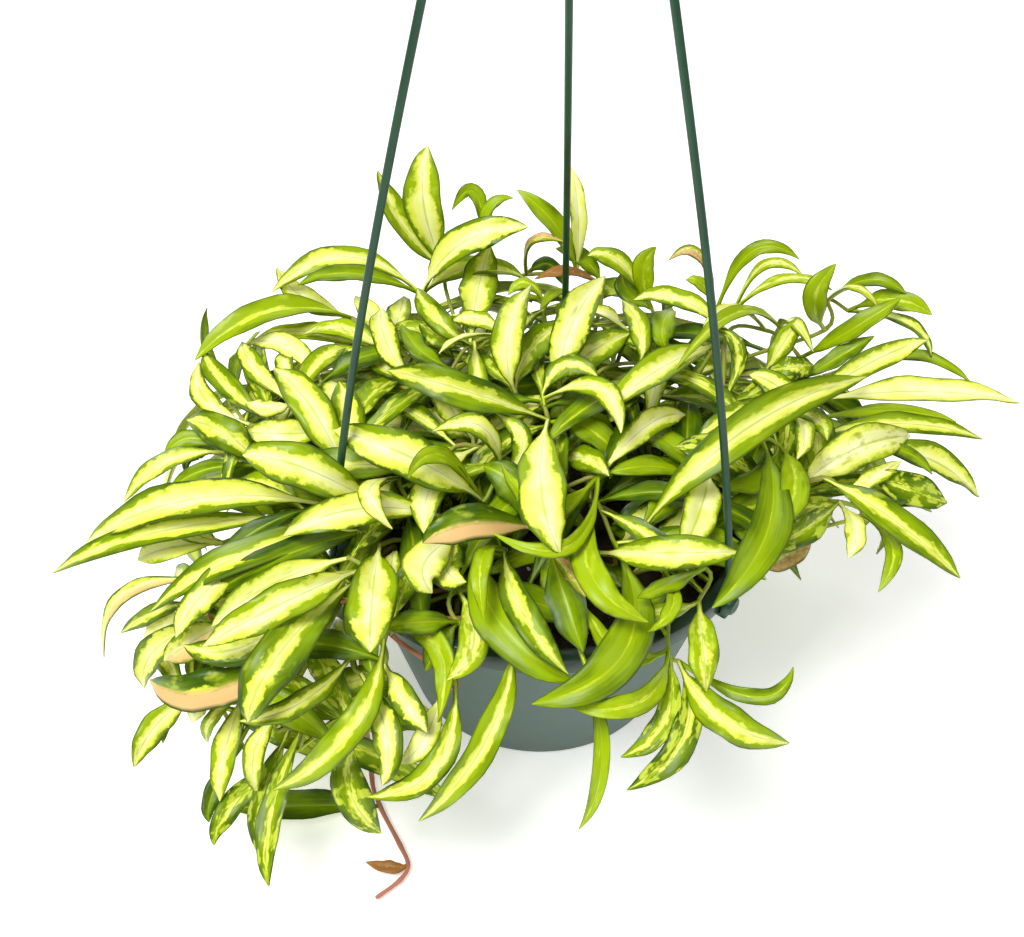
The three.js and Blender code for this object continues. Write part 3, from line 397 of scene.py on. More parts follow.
def inner_wall(height):
    """The inner radius of the basket's wall at a height."""
    low = BASE_RADIUS - WALL
    high = wall_top - WALL
    return low + (high - low) * (height - WALL - BASE_ROUNDING) / (POT_HEIGHT - 2 * WALL - BASE_ROUNDING)


def soil_height(x, y):
    """The height of the soil's top at a place."""
    lumps = sum(share * noise.noise((x / size, y / size, layer)) for size, layer, share in LUMP_KINDS)
    return SOIL_TOP + SOIL_SWELL * (1 - (x * x + y * y) / SOIL_REACH**2) + SOIL_LUMPS * lumps


def copy_of(master):
    made = bpy.data.objects.new(master.name, master.data.copy())
    bpy.context.collection.objects.link(made)
    return made


def hold(thing, name, value):
    """Gives a mesh one value, or one for each vertex, that its material can read."""
    held = thing.data.attributes.new(name, "FLOAT", "POINT")
    held.data.foreach_set("value", np.full(len(thing.data.vertices), value, np.float32))


top_edge = inner_wall(SOIL_TOP) - SOIL_GAP
soil_profile = [(inner_wall(SOIL_FLOOR) - SOIL_FOOT, SOIL_FLOOR), (top_edge, SOIL_TOP)]
for i in range(1, SOIL_RINGS):
    soil_profile.append((top_edge * (1 - i / SOIL_RINGS), SOIL_TOP))
soil = turned("soil_filling", soil_profile, SOIL_SIDES)
for vertex in soil.data.vertices:
    if vertex.co.z > (SOIL_TOP - 1) * MM:
        vertex.co.z = soil_height(vertex.co.x / MM, vertex.co.y / MM) * MM
smooth(soil, SOIL_SMOOTH_ANGLE)

soil_finish = Finish("soil_mix", Roughness=0.95)
at = soil_finish.places()
fine = soil_finish.noise(at, scale=420, detail=6, roughness=0.7)
coarse = soil_finish.noise(at, scale=90, detail=4)
damp = soil_finish.mix(coarse.ramp(0.35, 0.65), SOIL_DARK, SOIL_BROWN)
soil_finish.set(Base_Color=soil_finish.mix(fine.ramp(0.6, 0.75), damp, SOIL_PALE))
soil_finish.bump(fine + coarse, strength=0.9, depth=1.5)
dress(soil, soil_finish, "soil_brown", "soil")

crumb_master = added("crumb", bpy.ops.mesh.primitive_ico_sphere_add, subdivisions=1, radius=1)
draw = drawer(CRUMB_SEED)
crumbs = []
for i in range(CRUMB_COUNT):
    reach = SOIL_REACH * math.sqrt(draw())
    turn = 2 * math.pi * draw()
    x, y = reach * math.cos(turn), reach * math.sin(turn)
    kind = draw()
    size = (CRUMB_LEAST + CRUMB_SPREAD * draw() ** 2) * MM
    stretch = (1 + CRUMB_STRETCH * draw() * (kind < BARK_BELOW), 1, CRUMB_FLATNESS)
    lie = Matrix.Rotation(2 * math.pi * draw(), 4, "Z") @ Matrix.Rotation(CRUMB_TILT * draw(), 4, "X")
    crumb = copy_of(crumb_master)
    place = Matrix.Translation((x * MM, y * MM, soil_height(x, y) * MM + size * CRUMB_RISE))
    crumb.data.transform(place @ lie @ Matrix.Diagonal((*[size * s for s in stretch], 1)))
    hold(crumb, "shade", 1 if kind > WHITE_ABOVE else BARK_SHADES * draw())
    crumbs.append(crumb)
bpy.data.objects.remove(crumb_master)
crumbs = joined("soil_crumbs", *crumbs)
crumb_finish = Finish("soil_grit", Roughness=0.9)
shade = crumb_finish.held("shade")
rough = crumb_finish.noise(crumb_finish.places(), scale=700, detail=4)
bark = crumb_finish.mix(shade, BARK_DARK, BARK_PALE)
crumb_finish.set(Base_Color=crumb_finish.mix(shade.ramp(0.85, 0.95), bark, GRAIN_WHITE))
crumb_finish.bump(rough, strength=0.6, depth=0.6)
dress(crumbs, crumb_finish, "soil_brown")


# Hanger. Three slim round arms of green plastic, moulded in one piece with the clips that hold the rim,
# and a crown that takes their upper ends and carries the hook.
ARM_RADIUS = 1.7
ARM_FOOT_RADIUS = 104
ARM_RISE = 432
ARM_BOW = 6.7
ARM_TOP_RADIUS = 4.2
ARM_STEPS = 11
ARM_SPLITS = 4
BOW_FACTOR = 6.75  # makes the greatest value of t * (1 - t) ** 2 one
ARM_ANGLES = {"back": 82.7, "left": 202.7, "right": -37.3}
CLIP_WIDTH = 7
CLIP_THICKNESS = 3.2
CLIP_CATCH = 4.5
CLIP_GAP = 0.3
TONGUE_EXTRA = 5
TONGUE_EDGE = 0.8
CLAW_HEIGHT = 2.2
CLAW_EDGE = 0.5
KNOB_RADIUS = 4.6
KNOB_START = 1
CROWN_RADIUS = 7.5
CROWN_HEIGHT = 15
CROWN_SKIRT = 5
HOOK_RADIUS = 2.3
HOOK_BEND = 17
HOOK_SEAT = 2
HOOK_SHANK = 22
SHANK_STEPS = 4
HOOK_TURN = math.radians(235)
HOOK_STEPS = 36
ROD_SIDES = 16
KNOB_SIDES = 32
MERGE_DISTANCE = 0.01
HANGER_GREEN = linear(20, 62, 38)
HANGER_PALE = linear(30, 76, 46)


def rod(name, places, radius, sides):
    """A round rod through places in millimetres, whose radius may be one value or one for each place."""
    line = bpy.data.curves.new(name, "CURVE")
    line.dimensions = "3D"
    spline = line.splines.new("POLY")
    spline.points.add(len(places) - 1)
    radii = radius if hasattr(radius, "__len__") else [radius] * len(places)
    for point, place, size in zip(spline.points, places, radii):
        point.co = (*[c * MM for c in place], 1)
        point.radius = size
    line.bevel_depth = MM
    line.bevel_resolution = sides // 2 - 2
    line.use_fill_caps = True
    made = bpy.data.objects.new(name, line)
    bpy.context.collection.objects.link(made)
    only(made)
    bpy.ops.object.convert(target="MESH")
    made = bpy.context.object
    bpy.ops.object.mode_set(mode="EDIT")
    bpy.ops.mesh.select_all(action="SELECT")
    bpy.ops.mesh.remove_doubles(threshold=MERGE_DISTANCE * MM)
    bpy.ops.mesh.normals_make_consistent(inside=False)
    bpy.ops.object.mode_set(mode="OBJECT")
    return made


def catmull(places, k, t):
    """A place between places[k] and the next, on the smooth line through all of them."""
    p1, p2 = places[k], places[k + 1]
    p0 = places[k - 1] if k > 0 else 2 * p1 - p2
    p3 = places[k + 2] if k + 2 < len(places) else 2 * p2 - p1
    return (
        p0 * (-t + 2 * t * t - t**3)
        + p1 * (2 - 5 * t * t + 3 * t**3)
        + p2 * (t + 4 * t * t - 3 * t**3)
        + p3 * (-t * t + t**3)
    ) / 2


def box(name, size, centre, turn, edge):
    """A bevelled block, turned about the basket's axis, with its place in its mesh."""
    made = added(name, bpy.ops.mesh.primitive_cube_add, size=1, location=[c * MM for c in centre])
    made.scale = [s * MM for s in size]
    bpy.ops.object.transform_apply(location=True, rotation=True, scale=True)
    made.data.transform(Matrix.Rotation(turn, 4, "Z"))
    apply(made, "BEVEL", width=edge * MM, segments=3)
    return made


hanger_finish = Finish("hanger_plastic", Specular_IOR_Level=0.5)
at = hanger_finish.places()
flow = hanger_finish.noise(at, scale=60, detail=4)
grain = hanger_finish.noise(at, scale=1100, detail=2)
hanger_finish.set(
    Base_Color=hanger_finish.mix(flow.ramp(0.4, 0.7), HANGER_GREEN, HANGER_PALE),
    Roughness=0.34 + flow * 0.14,
)
hanger_finish.bump(grain + flow, strength=0.2, depth=0.15)

skirt = RIM_RADIUS + CLIP_GAP
foot = POT_HEIGHT - RIM_DROP - CLIP_GAP
for side, degrees in ARM_ANGLES.items():
    turn = math.radians(degrees)
    out = np.array([math.cos(turn), math.sin(turn), 0])
    corners = []
    for i in range(ARM_STEPS + 1):
        t = i / ARM_STEPS
        bow = ARM_BOW * t * (1 - t) ** 2 * BOW_FACTOR
        reach = ARM_FOOT_RADIUS * (1 - t) + ARM_TOP_RADIUS * t + bow
        corners.append(out * reach + np.array([0, 0, POT_HEIGHT + ARM_RISE * t]))
    line = [catmull(corners, k, t / ARM_SPLITS) for k in range(ARM_STEPS) for t in range(ARM_SPLITS)]
    strand = rod(f"arm_{side}", line + [corners[-1]], ARM_RADIUS, ROD_SIDES)
    tongue = box(
        "tongue", (CLIP_THICKNESS, CLIP_WIDTH, RIM_DROP + TONGUE_EXTRA),
        (skirt + CLIP_THICKNESS / 2, 0, foot + RIM_DROP / 2), turn, TONGUE_EDGE,
    )
    claw = box(
        "claw", (CLIP_CATCH + CLIP_THICKNESS, CLIP_WIDTH, CLAW_HEIGHT),
        (skirt + (CLIP_THICKNESS - CLIP_CATCH) / 2, 0, foot - CLAW_HEIGHT / 2), turn, CLAW_EDGE,
    )
    knob = turned("knob", [
        (KNOB_RADIUS - 0.2, 0), (KNOB_RADIUS, 0.4), (KNOB_RADIUS, 3.4), (KNOB_RADIUS - 0.5, 4.3),
        (KNOB_RADIUS - 1.5, 4.8), (1.6, 4.4), (0.8, 4.2),
    ], KNOB_SIDES)
    upright = Matrix.Translation(((skirt + KNOB_START) * MM, 0, (POT_HEIGHT - RIM_DROP / 2) * MM))
    knob.data.transform(Matrix.Rotation(turn, 4, "Z") @ upright @ Matrix.Rotation(math.pi / 2, 4, "Y"))
    strand = joined(f"arm_{side}", strand, tongue, claw, knob)
    smooth(strand)
    dress(strand, hanger_finish, "hanger_green", f"hanger_arm_{side}")

crown_low = POT_HEIGHT + ARM_RISE - CROWN_SKIRT
crown_high = POT_HEIGHT + ARM_RISE + CROWN_HEIGHT
crown = turned("crown", [
    (CROWN_RADIUS - 1, crown_low), (CROWN_RADIUS - 0.3, crown_low + 0.6), (CROWN_RADIUS, crown_low + 2),
    (CROWN_RADIUS - 0.5, crown_high - 7), (CROWN_RADIUS - 1.2, crown_high - 6),
    (HOOK_RADIUS + 1.4, crown_high - 0.8), (HOOK_RADIUS + 0.6, crown_high), (HOOK_RADIUS * 0.7, crown_high),
], KNOB_SIDES)
hook_base = crown_high - HOOK_SEAT
hook_line = [(0, 0, hook_base + HOOK_SHANK * i / SHANK_STEPS) for i in range(SHANK_STEPS)]
for i in range(HOOK_STEPS + 1):
    turn = HOOK_TURN * i / HOOK_STEPS
    side = HOOK_BEND * (1 - math.cos(turn))
    hook_line.append((side, 0, hook_base + HOOK_SHANK + HOOK_BEND * math.sin(turn)))
crown = joined("crown_and_hook", crown, rod("hook", hook_line, HOOK_RADIUS, ROD_SIDES))
smooth(crown)
dress(crown, hanger_finish, "hanger_green", "hanger_hook")


# Foliage. Long narrow leaves, thick and folded along the midrib, in pairs on thin stems. The stems are
# rooted in the soil, rise over the rim and hang; one trails over the table. Each vine is one piece.
# A leaf is given by three pixels (where its stalk leaves the stem, the middle of its midrib, its tip),
# its real width and how far it is raised towards the viewpoint, in millimetres, and its colouring.
VINES = {
    "tall_left": [
        ((445, 270), (424, 205), (428, 146), 22, 4, "cream"),
        ((440, 268), (400, 222), (378, 171), 16, 0, "stripe"),
        ((490, 262), (476, 194), (452, 210), 9, -6, "green"),
        ((480, 262), (487, 212), (513, 198), 8, -6, "green"),
    ],
    "back_left": [
        ((420, 290), (463, 243), (528, 227), 21, 14, "cream"),
        ((428, 283), (355, 274), (298, 285), 13, 8, "green"),
        ((424, 276), (345, 257), (272, 292), 14, 2, "cream"),
    ],
    "left_top": [
        ((385, 352), (345, 330), (304, 334), 12, 4, "yellow"),
        ((372, 346), (312, 333), (258, 337), 12, 0, "yellow"),
        ((352, 318), (270, 312), (195, 360), 17, 12, "lime"),
        ((340, 325), (303, 298), (277, 268), 16, -4, "pale"),
        ((392, 345), (372, 318), (355, 296), 13, -4, "pale"),
    ],
    "left_upper": [
        ((345, 474), (314, 412), (274, 368), 20, 16, "cream"),
        ((328, 432), (285, 434), (248, 432), 16, 0, "pale"),
        ((292, 404), (255, 368), (242, 342), 12, 8, "cream"),
        ((290, 400), (268, 408), (245, 402), 11, -3, "pale"),
        ((325, 382), (290, 347), (247, 344), 13, 4, "pale"),
    ],
    "left_rise": [
        ((275, 425), (226, 385), (204, 352), 13, 8, "stripe"),
        ((250, 425), (206, 400), (199, 362), 12, 6, "cream"),
        ((232, 405), (207, 352), (207, 308), 8, 2, "green", 60),
    ],
    "left_mid": [
        ((382, 508), (304, 468), (243, 455), 22, 30, "cream"),
        ((262, 466), (226, 434), (187, 420), 18, 12, "stripe"),
        ((252, 462), (205, 470), (170, 492), 9, -4, "green"),
        ((222, 452), (166, 462), (124, 502), 11, 6, "cream"),
        ((220, 446), (190, 438), (164, 457), 10, 0, "green"),
    ],
    "left_long": [
        ((325, 505), (190, 500), (84, 546), 19, 16, "cream"),
        ((300, 518), (160, 532), (53, 573), 15, 10, "stripe"),
        ((215, 545), (170, 548), (138, 560), 13, -4, "pale"),
        ((212, 548), (185, 535), (170, 520), 6, 8, "pale"),
    ],
    "left_fan": [
        ((374, 530), (250, 553), (150, 612), 17, 14, "stripe"),
        ((363, 539), (284, 556), (212, 596), 15, 8, "dark"),
        ((255, 552), (208, 590), (176, 637), 15, 18, "cream"),
    ],
    "left_spread": [
        ((350, 558), (272, 584), (212, 626), 16, 16, "cream"),
        ((356, 572), (285, 602), (203, 646), 18, 14, "cream"),
        ((205, 580), (125, 595), (104, 657), 9, 2, "salmon"),
        ((190, 605), (155, 612), (121, 633), 9, 4, "stripe"),
    ],
    "left_drop": [
        ((305, 605), (240, 648), (184, 645), 16, 16, "stripe"),
        ((225, 622), (195, 640), (164, 660), 16, 8, "salmon"),
        ((222, 616), (160, 645), (144, 688), 15, 4, "cream"),
        ((205, 612), (170, 625), (144, 638), 12, 0, "pale"),
    ],
    "left_belly": [
        ((350, 588), (282, 650), (248, 722), 23, 22, "stripe"),
        ((290, 650), (210, 690), (150, 680), 20, 16, "salmon_belly"),
        ((200, 690), (156, 725), (134, 767), 14, 2, "cream"),
        ((185, 698), (168, 720), (163, 743), 6, -4, "green"),
    ],
    "low_left_a": [
        ((245, 692), (226, 750), (220, 801), 14, 6, "cream"),
        ((240, 698), (212, 718), (208, 742), 7, 4, "stripe"),
        ((215, 690), (200, 705), (192, 722), 9, -2, "pale"),
        ((245, 750), (214, 790), (209, 822), 9, 0, "dark"),
    ],
    "low_left_b": [
        ((280, 715), (255, 750), (258, 795), 11, 8, "cream"),
        ((290, 728), (264, 795), (258, 853), 12, 10, "mottled"),
        ((305, 722), (272, 812), (269, 886), 13, 14, "mottled"),
        ((300, 750), (236, 800), (214, 845), 12, 4, "mottled"),
    ],
    "front_left_a": [
        ((380, 545), (372, 600), (370, 652), 23, 26, "cream"),
        ((352, 655), (302, 702), (240, 721), 11, 22, "stripe"),
        ((372, 680), (387, 735), (382, 785), 15, 12, "cream"),
    ],
    "front_left_b": [
        ((384, 640), (350, 730), (273, 790), 15, 24, "stripe"),
        ((385, 665), (405, 700), (427, 732), 13, 10, "cream"),
        ((352, 742), (350, 790), (381, 833), 18, 14, "mottled"),
    ],
    "front_twist": [
        ((388, 626), (440, 650), (438, 722), 13, 16, "lime"),
        ((455, 680), (437, 765), (368, 797), 13, 16, "stripe"),
        ((440, 690), (425, 738), (401, 763), 12, 8, "pale"),
    ],
    "front_low": [
        ((458, 590), (474, 640), (447, 680), 15, 6, "yellow"),
        ((458, 622), (420, 622), (385, 627), 12, 0, "green"),
        ((520, 640), (486, 740), (419, 821), 14, 14, "stripe"),
    ],
    "front_green": [
        ((470, 548), (502, 625), (573, 682), 22, 12, "green"),
        ((508, 550), (522, 612), (568, 674), 15, 18, "stripe"),
        ((520, 552), (482, 560), (484, 619), 10, 20, "lime"),
    ],
    "front_dark": [
        ((550, 552), (570, 572), (585, 597), 8, 8, "tan"),
        ((545, 556), (566, 600), (583, 652), 18, 4, "dark"),
        ((585, 665), (602, 755), (579, 829), 8, 8, "lime"),
    ],
    "front_big": [
        ((597, 503), (590, 572), (648, 622), 15, 26, "lime"),
        ((615, 545), (628, 645), (532, 704), 22, 22, "green"),
    ],
    "centre_front": [
        ((548, 420), (541, 488), (560, 553), 23, 28, "cream"),
        ((545, 426), (462, 390), (388, 370), 18, 22, "stripe"),
        ((540, 400), (598, 388), (621, 433), 13, 18, "cream"),
    ],
    "centre_left": [
        ((500, 478), (483, 428), (433, 431), 11, 24, "cream"),
        ((482, 500), (412, 458), (334, 430), 22, 24, "cream"),
        ((478, 503), (440, 455), (408, 478), 9, 26, "lime"),
        ((472, 432), (447, 400), (442, 368), 15, 12, "cream"),
    ],
    "centre_salmon": [
        ((540, 530), (472, 523), (423, 543), 18, 22, "salmon_belly"),
        ((598, 475), (570, 545), (493, 533), 8, 28, "lime"),
        ((450, 540), (425, 562), (432, 593), 20, 10, "pale"),
    ],
    "centre_curl": [
        ((440, 516), (358, 509), (283, 536), 17, 16, "cream"),
        ((398, 478), (369, 492), (392, 529), 11, 24, "pale"),
        ((412, 372), (386, 342), (382, 308), 14, 10, "cream"),
    ],
    "centre_up": [
        ((515, 392), (508, 338), (531, 285), 18, 14, "cream"),
        ((508, 337), (465, 337), (439, 354), 6, 12, "pale", 40),
        ((470, 345), (478, 290), (490, 245), 22, 4, "cream"),
        ((470, 342), (438, 320), (417, 288), 13, 14, "stripe"),
        ((450, 372), (420, 350), (402, 325), 12, 2, "green"),
    ],
    "centre_tall": [
        ((560, 388), (570, 330), (605, 276), 20, 16, "cream"),
        ((545, 305), (527, 283), (508, 295), 9, 6, "lime"),
        ((590, 305), (560, 292), (540, 310), 8, 6, "lime"),
    ],
    "back_mid": [
        ((602, 285), (568, 272), (535, 279), 8, 10, "brown"),
        ((577, 272), (578, 215), (571, 167), 10, 2, "pale"),
        ((570, 278), (555, 225), (517, 190), 12, 4, "green"),
        ((522, 275), (532, 241), (564, 242), 7, 4, "tan"),
    ],
    "back_right": [
        ((640, 365), (640, 330), (622, 300), 12, 4, "stripe"),
        ((668, 352), (662, 330), (672, 308), 14, 2, "green"),
        ((650, 305), (618, 262), (588, 256), 15, 2, "stripe"),
        ((650, 305), (643, 272), (656, 247), 13, 4, "lime"),
    ],
    "right_arch": [
        ((715, 315), (702, 285), (686, 280), 10, 4, "lime"),
        ((722, 308), (700, 256), (669, 260), 8, 0, "tan"),
        ((724, 306), (752, 252), (799, 259), 9, 2, "green"),
        ((736, 310), (766, 265), (803, 276), 7, 4, "yellow"),
        ((745, 318), (783, 280), (832, 290), 9, 6, "yellow"),
    ],
    "right_top": [
        ((718, 345), (662, 368), (608, 411), 19, 14, "cream"),
        ((722, 405), (738, 350), (710, 328), 10, 14, "stripe"),
        ((728, 332), (680, 300), (634, 300), 14, 10, "cream"),
        ((765, 330), (735, 310), (700, 338), 12, 12, "pale"),
        ((795, 345), (742, 312), (676, 369), 9, 18, "lime"),
    ],
    "right_back": [
        ((825, 330), (815, 298), (836, 264), 14, 14, "lime"),
        ((828, 300), (870, 280), (906, 294), 9, 2, "green"),
        ((826, 300), (856, 288), (881, 313), 7, 8, "yellow"),
        ((850, 312), (893, 300), (932, 315), 12, 0, "lime"),
        ((855, 325), (908, 324), (931, 356), 10, 0, "stripe"),
    ],
    "right_mid": [
        ((765, 372), (782, 345), (800, 318), 12, 8, "stripe"),
        ((775, 335), (792, 322), (813, 352), 9, 14, "cream"),
        ((800, 358), (855, 328), (901, 298), 12, 10, "green"),
        ((800, 380), (838, 358), (874, 336), 11, 8, "green"),
        ((850, 368), (915, 356), (970, 382), 8, -4, "green"),
    ],
    "right_cream": [
        ((640, 532), (745, 430), (866, 377), 20, 28, "stripe"),
        ((800, 405), (804, 430), (797, 459), 11, 28, "cream"),
        ((810, 398), (868, 364), (928, 340), 14, 10, "cream"),
    ],
    "right_long": [
        ((797, 490), (852, 450), (910, 436), 21, 18, "speckled"),
        ((812, 438), (900, 424), (982, 439), 13, 6, "stripe"),
        ((812, 420), (890, 411), (956, 422), 8, 2, "green"),
        ((820, 398), (925, 392), (1019, 403), 18, 8, "pale"),
    ],
    "right_low": [
        ((822, 478), (893, 520), (960, 578), 16, 14, "stripe"),
        ((845, 492), (873, 478), (901, 461), 9, 8, "pale"),
        ((865, 472), (905, 488), (947, 503), 17, 6, "mottled"),
        ((870, 448), (930, 460), (979, 497), 18, 6, "cream"),
        ((865, 445), (905, 452), (932, 474), 7, 10, "green"),
    ],
    "right_hang": [
        ((838, 502), (805, 530), (762, 549), 14, 12, "mottled"),
        ((840, 505), (855, 530), (848, 558), 11, -2, "pale"),
        ((862, 515), (892, 548), (878, 592), 9, 2, "lime"),
        ((812, 530), (790, 555), (764, 566), 12, 2, "tan"),
    ],
    "right_front": [
        ((710, 470), (700, 510), (682, 552), 19, 4, "pale"),
        ((762, 440), (769, 525), (712, 608), 20, 26, "green"),
        ((780, 446), (795, 488), (770, 532), 15, 16, "lime"),
    ],
    "front_right_a": [
        ((600, 553), (668, 553), (738, 552), 17, 20, "cream"),
        ((705, 568), (668, 585), (637, 598), 8, 6, "green"),
        ((697, 605), (703, 648), (706, 692), 15, 8, "yellow"),
        ((690, 610), (665, 612), (640, 608), 9, 4, "yellow"),
    ],
    "front_right_b": [
        ((665, 572), (673, 605), (648, 632), 8, 20, "lime"),
        ((668, 650), (642, 700), (570, 706), 12, 20, "lime"),
        ((673, 660), (665, 720), (621, 757), 12, 12, "mottled"),
        ((680, 662), (685, 735), (627, 790), 14, 16, "mottled"),
        ((683, 658), (722, 718), (789, 743), 17, 20, "stripe"),
        ((690, 668), (757, 697), (793, 667), 8, 10, "green"),
    ],
}

# The vine that trails on the table: its nodes, and its leaves with the node that each springs from.
TRAILING_STOPS = [(372, 778), (380, 806), (400, 845), (408, 865), (400, 880), (376, 898)]
TRAILING_LEAVES = [
    (1, (305, 806), (230, 808), 17, "dark"),
    (3, (392, 868), (366, 862), 7, "brown"),
]

# Vines on the sides that the view doesn't reach, and two inside the mound: the bearing and reach of each in
# degrees, and where they differ its share of the mound's size and the fall of its leaves in degrees.
HIDDEN_VINES = {
    "behind_a": (68, 80), "behind_b": (90, 88), "behind_c": (112, 78), "behind_d": (48, 90),
    "behind_e": (134, 92), "behind_f": (142, 78, 0.88), "behind_g": (36, 78, 0.86), "behind_h": (80, 54),
    "behind_i": (100, 104), "behind_k": (146, 54, 0.8, 14), "behind_l": (36, 50, 0.78, 14),
    "within_a": (215, 30, 0.66, 12), "within_b": (60, 34, 0.84, 14),
}
HIDDEN_TONES = ["cream", "stripe", "green", "cream", "lime", "pale", "mottled", "stripe"]
HIDDEN_NODES = [0.45, 0.75, 1]
NODE_SWAY = 10
END_FALL = 10
FALL_SPREAD = 14
SIZE_SPREAD = 0.08
MIDDLE_TURN = 0.55
TIP_DROP = 0.03
STEM_SHARE = 0.06
LIFT_SPAN = 150
DEPTH_SPAN = 130
HIDDEN_TURN = 24
HIDDEN_UPWARDS = 0.25
# The least value of a draw and its spread, here and below.
HIDDEN_SIDEWAYS = (18, 12)
HIDDEN_WIDTHS = (13, 8)

# The mound that the foliage makes, an ellipsoid, and what keeps its stems off the floor, soil and rim.
MOUND_CENTRE = np.array([0, 0, 78.0])
MOUND_RADII = np.array([215, 150, 110.0])
SIGHT_FLATTENING = 0.7
FLOOR_CLEARANCE = 1.2
STEM_RADIUS = 1.7
HOLE_DEPTH = 12
HOLE_SPACING = 11.3
HOLE_COUNT = 56
HOLE_START = 0.4
GOLDEN_ANGLE = 2.399963
ROOT_RISES = (-HOLE_DEPTH, 3, 13)
STEM_OVER_RIM = 6
RIM_MARGIN = 12
RIM_EASE = 60

# A leaf in the solids: its stalk, its outline and fold, and how near each other two leaves share a node.
PETIOLE_SHARE = 0.08
PETIOLE_WIDTH = 2.6
BLADE_CURVE = 0.8
STALK_SETBACK = 0.15
BLADE_FOLD = 0.13
OUTWARD_SHARE = 0.6
TO_VIEWER_SHARE = 0.8
SAME_NODE_PIXELS = 15

# A leaf under one that is seen: its turn aside, length, depth and width, and which of them are in the solids.
ASIDE_TURN = (24, 34)
COVERED_REACH = (0.7, 0.2)
COVERED_DEPTH = (12, 10)
COVERED_WIDTH = (0.8, 0.4)
COVERED_WIDEST = 18
COVERED_NARROWEST = 11
COVERED_SHARE = 0.2
OVAL_CENTRE = (520, 470)
OVAL_RADII = (345, 225)

# The order in which the solids were set out, the shifts that they tried, and how their corners are known.
TRAILING_RANK = 100
FRONT_RANK = 33
COVERED_RANK = -50
HIDDEN_RANK = -100
FRONT_STATIONS = [0.1, 0.36, 0.74]
REAR_STATIONS = [0.3, 0.7]
STEM_SHIFTS = [0, 0.2, -0.2, 0.4, -0.4]
LIFTS = [
    (0, 0), (3, 3), (-3, -3), (6, 6), (3, 8), (-6, -6), (10, 10), (5, -4), (-4, 6),
    (14, 14), (-10, -10), (8, 18), (20, 20), (-15, -12), (26, 26), (16, 34),
]
STEM_DEPTHS = [14, 18, 22, 10, 26, 6, 30, 2, 34, -2, 38, -6, 42]
RIM_TURNS = [0, 8, -8, 17, -17, 27, -27]
FOOT_DISTANCE = 0.05
HOLE_DISTANCE = 0.1
RING_DISTANCE = 0.15
LEAF_DISTANCE = 0.4


def unit(direction):
    return direction / np.linalg.norm(direction)


def sight_to(pixel):
    aside = (pixel[0] - VIEW_CENTRE[0]) / VIEW_FOCAL
    above = (VIEW_CENTRE[1] - pixel[1]) / VIEW_FOCAL
    return unit(view_forward + aside * view_right + above * view_up)


def on_floor(pixel, height):
    ray = sight_to(pixel)
    return VIEW_POINT + ray * (height - VIEW_POINT[2]) / ray[2]


def seen(pixel, near):
    """The place that is seen at a pixel, on the mound's near side and raised towards the viewpoint."""
    ray = sight_to(pixel)
    start = (VIEW_POINT - MOUND_CENTRE) / MOUND_RADII
    along = ray / MOUND_RADII
    a = along @ along
    b = start @ along
    inside = b * b - a * (start @ start - 1)
    depth = -b / a - SIGHT_FLATTENING * math.sqrt(max(0, inside)) / a
    floor_depth = (FLOOR_CLEARANCE + 1 - VIEW_POINT[2]) / ray[2]
    return VIEW_POINT + ray * min(depth - near, floor_depth)


def outward_at(place):
    return unit((place - MOUND_CENTRE) / MOUND_RADII / MOUND_RADII)


def on_mound(bearing, down, share):
    bearing, down = math.radians(bearing), math.radians(down)
    around = math.sin(down)
    outward = np.array([math.cos(bearing) * around, math.sin(bearing) * around, math.cos(down)])
    place = outward * MOUND_RADII * share + MOUND_CENTRE
    place[2] = max(place[2], FLOOR_CLEARANCE + 1)
    return place


def squared(facing, along):
    """The direction nearest to facing that is at right angles to along."""
    return unit(facing - (along @ facing) * along)


@dataclass
class Leaf:
    """A leaf's places, which its solid may have shifted along the stem or lifted to be clear of others."""

    index: int
    rank: float
    wide: float
    tone: str
    middle: object
    tip: object
    facing: object
    turn: float = 0
    in_solid: bool = True
    is_inside: bool = False

    def placed(self, base, lift):
        """base, middle and tip of the midrib, and the direction that the upper side faces."""
        middle, tip = self.middle(lift[0]), self.tip(lift[1])
        along = unit(tip - base)
        facing = squared(self.facing(middle), along)
        turn = math.radians(self.turn)
        facing = facing * math.cos(turn) + np.cross(along, facing) * math.sin(turn)
        return base, middle, tip, facing


def breadth(wide, t):
    """A blade's width at t along its midrib, with the stalk's at its foot."""
    share = max(0, (t - PETIOLE_SHARE) / (1 - PETIOLE_SHARE))
    return max(PETIOLE_WIDTH, wide * math.sin(math.pi * share**BLADE_CURVE) ** BLADE_CURVE)


def rib_frame(base, middle, tip, facing, t):
    """A place on the midrib, with its direction, the direction across the blade and the one out of it."""
    control = 2 * middle - base / 2 - tip / 2
    place = (1 - t) ** 2 * base + 2 * t * (1 - t) * control + t * t * tip
    along = unit((1 - t) * (control - base) + t * (tip - control))
    side = unit(np.cross(along, facing))
    return place, along, side, np.cross(side, along)


def is_in_oval(pixel):
    across = (pixel[0] - OVAL_CENTRE[0]) / OVAL_RADII[0]
    down = (pixel[1] - OVAL_CENTRE[1]) / OVAL_RADII[1]
    return math.hypot(across, down) < 1


def leaf_in_view(index, over, to, wide, near, tone, turn=0, rank=None):
    def facing(middle):
        return unit(outward_at(middle) * OUTWARD_SHARE + unit(VIEW_POINT - middle) * TO_VIEWER_SHARE)

    return Leaf(
        index, near + wide if rank is None else rank, wide, tone,
        lambda lift: seen(over, near + lift), lambda lift: seen(to, near + lift), facing, turn,
    )


def drawn(draw, least, spread):
    """A draw between least and least + spread."""
    return least + spread * draw()


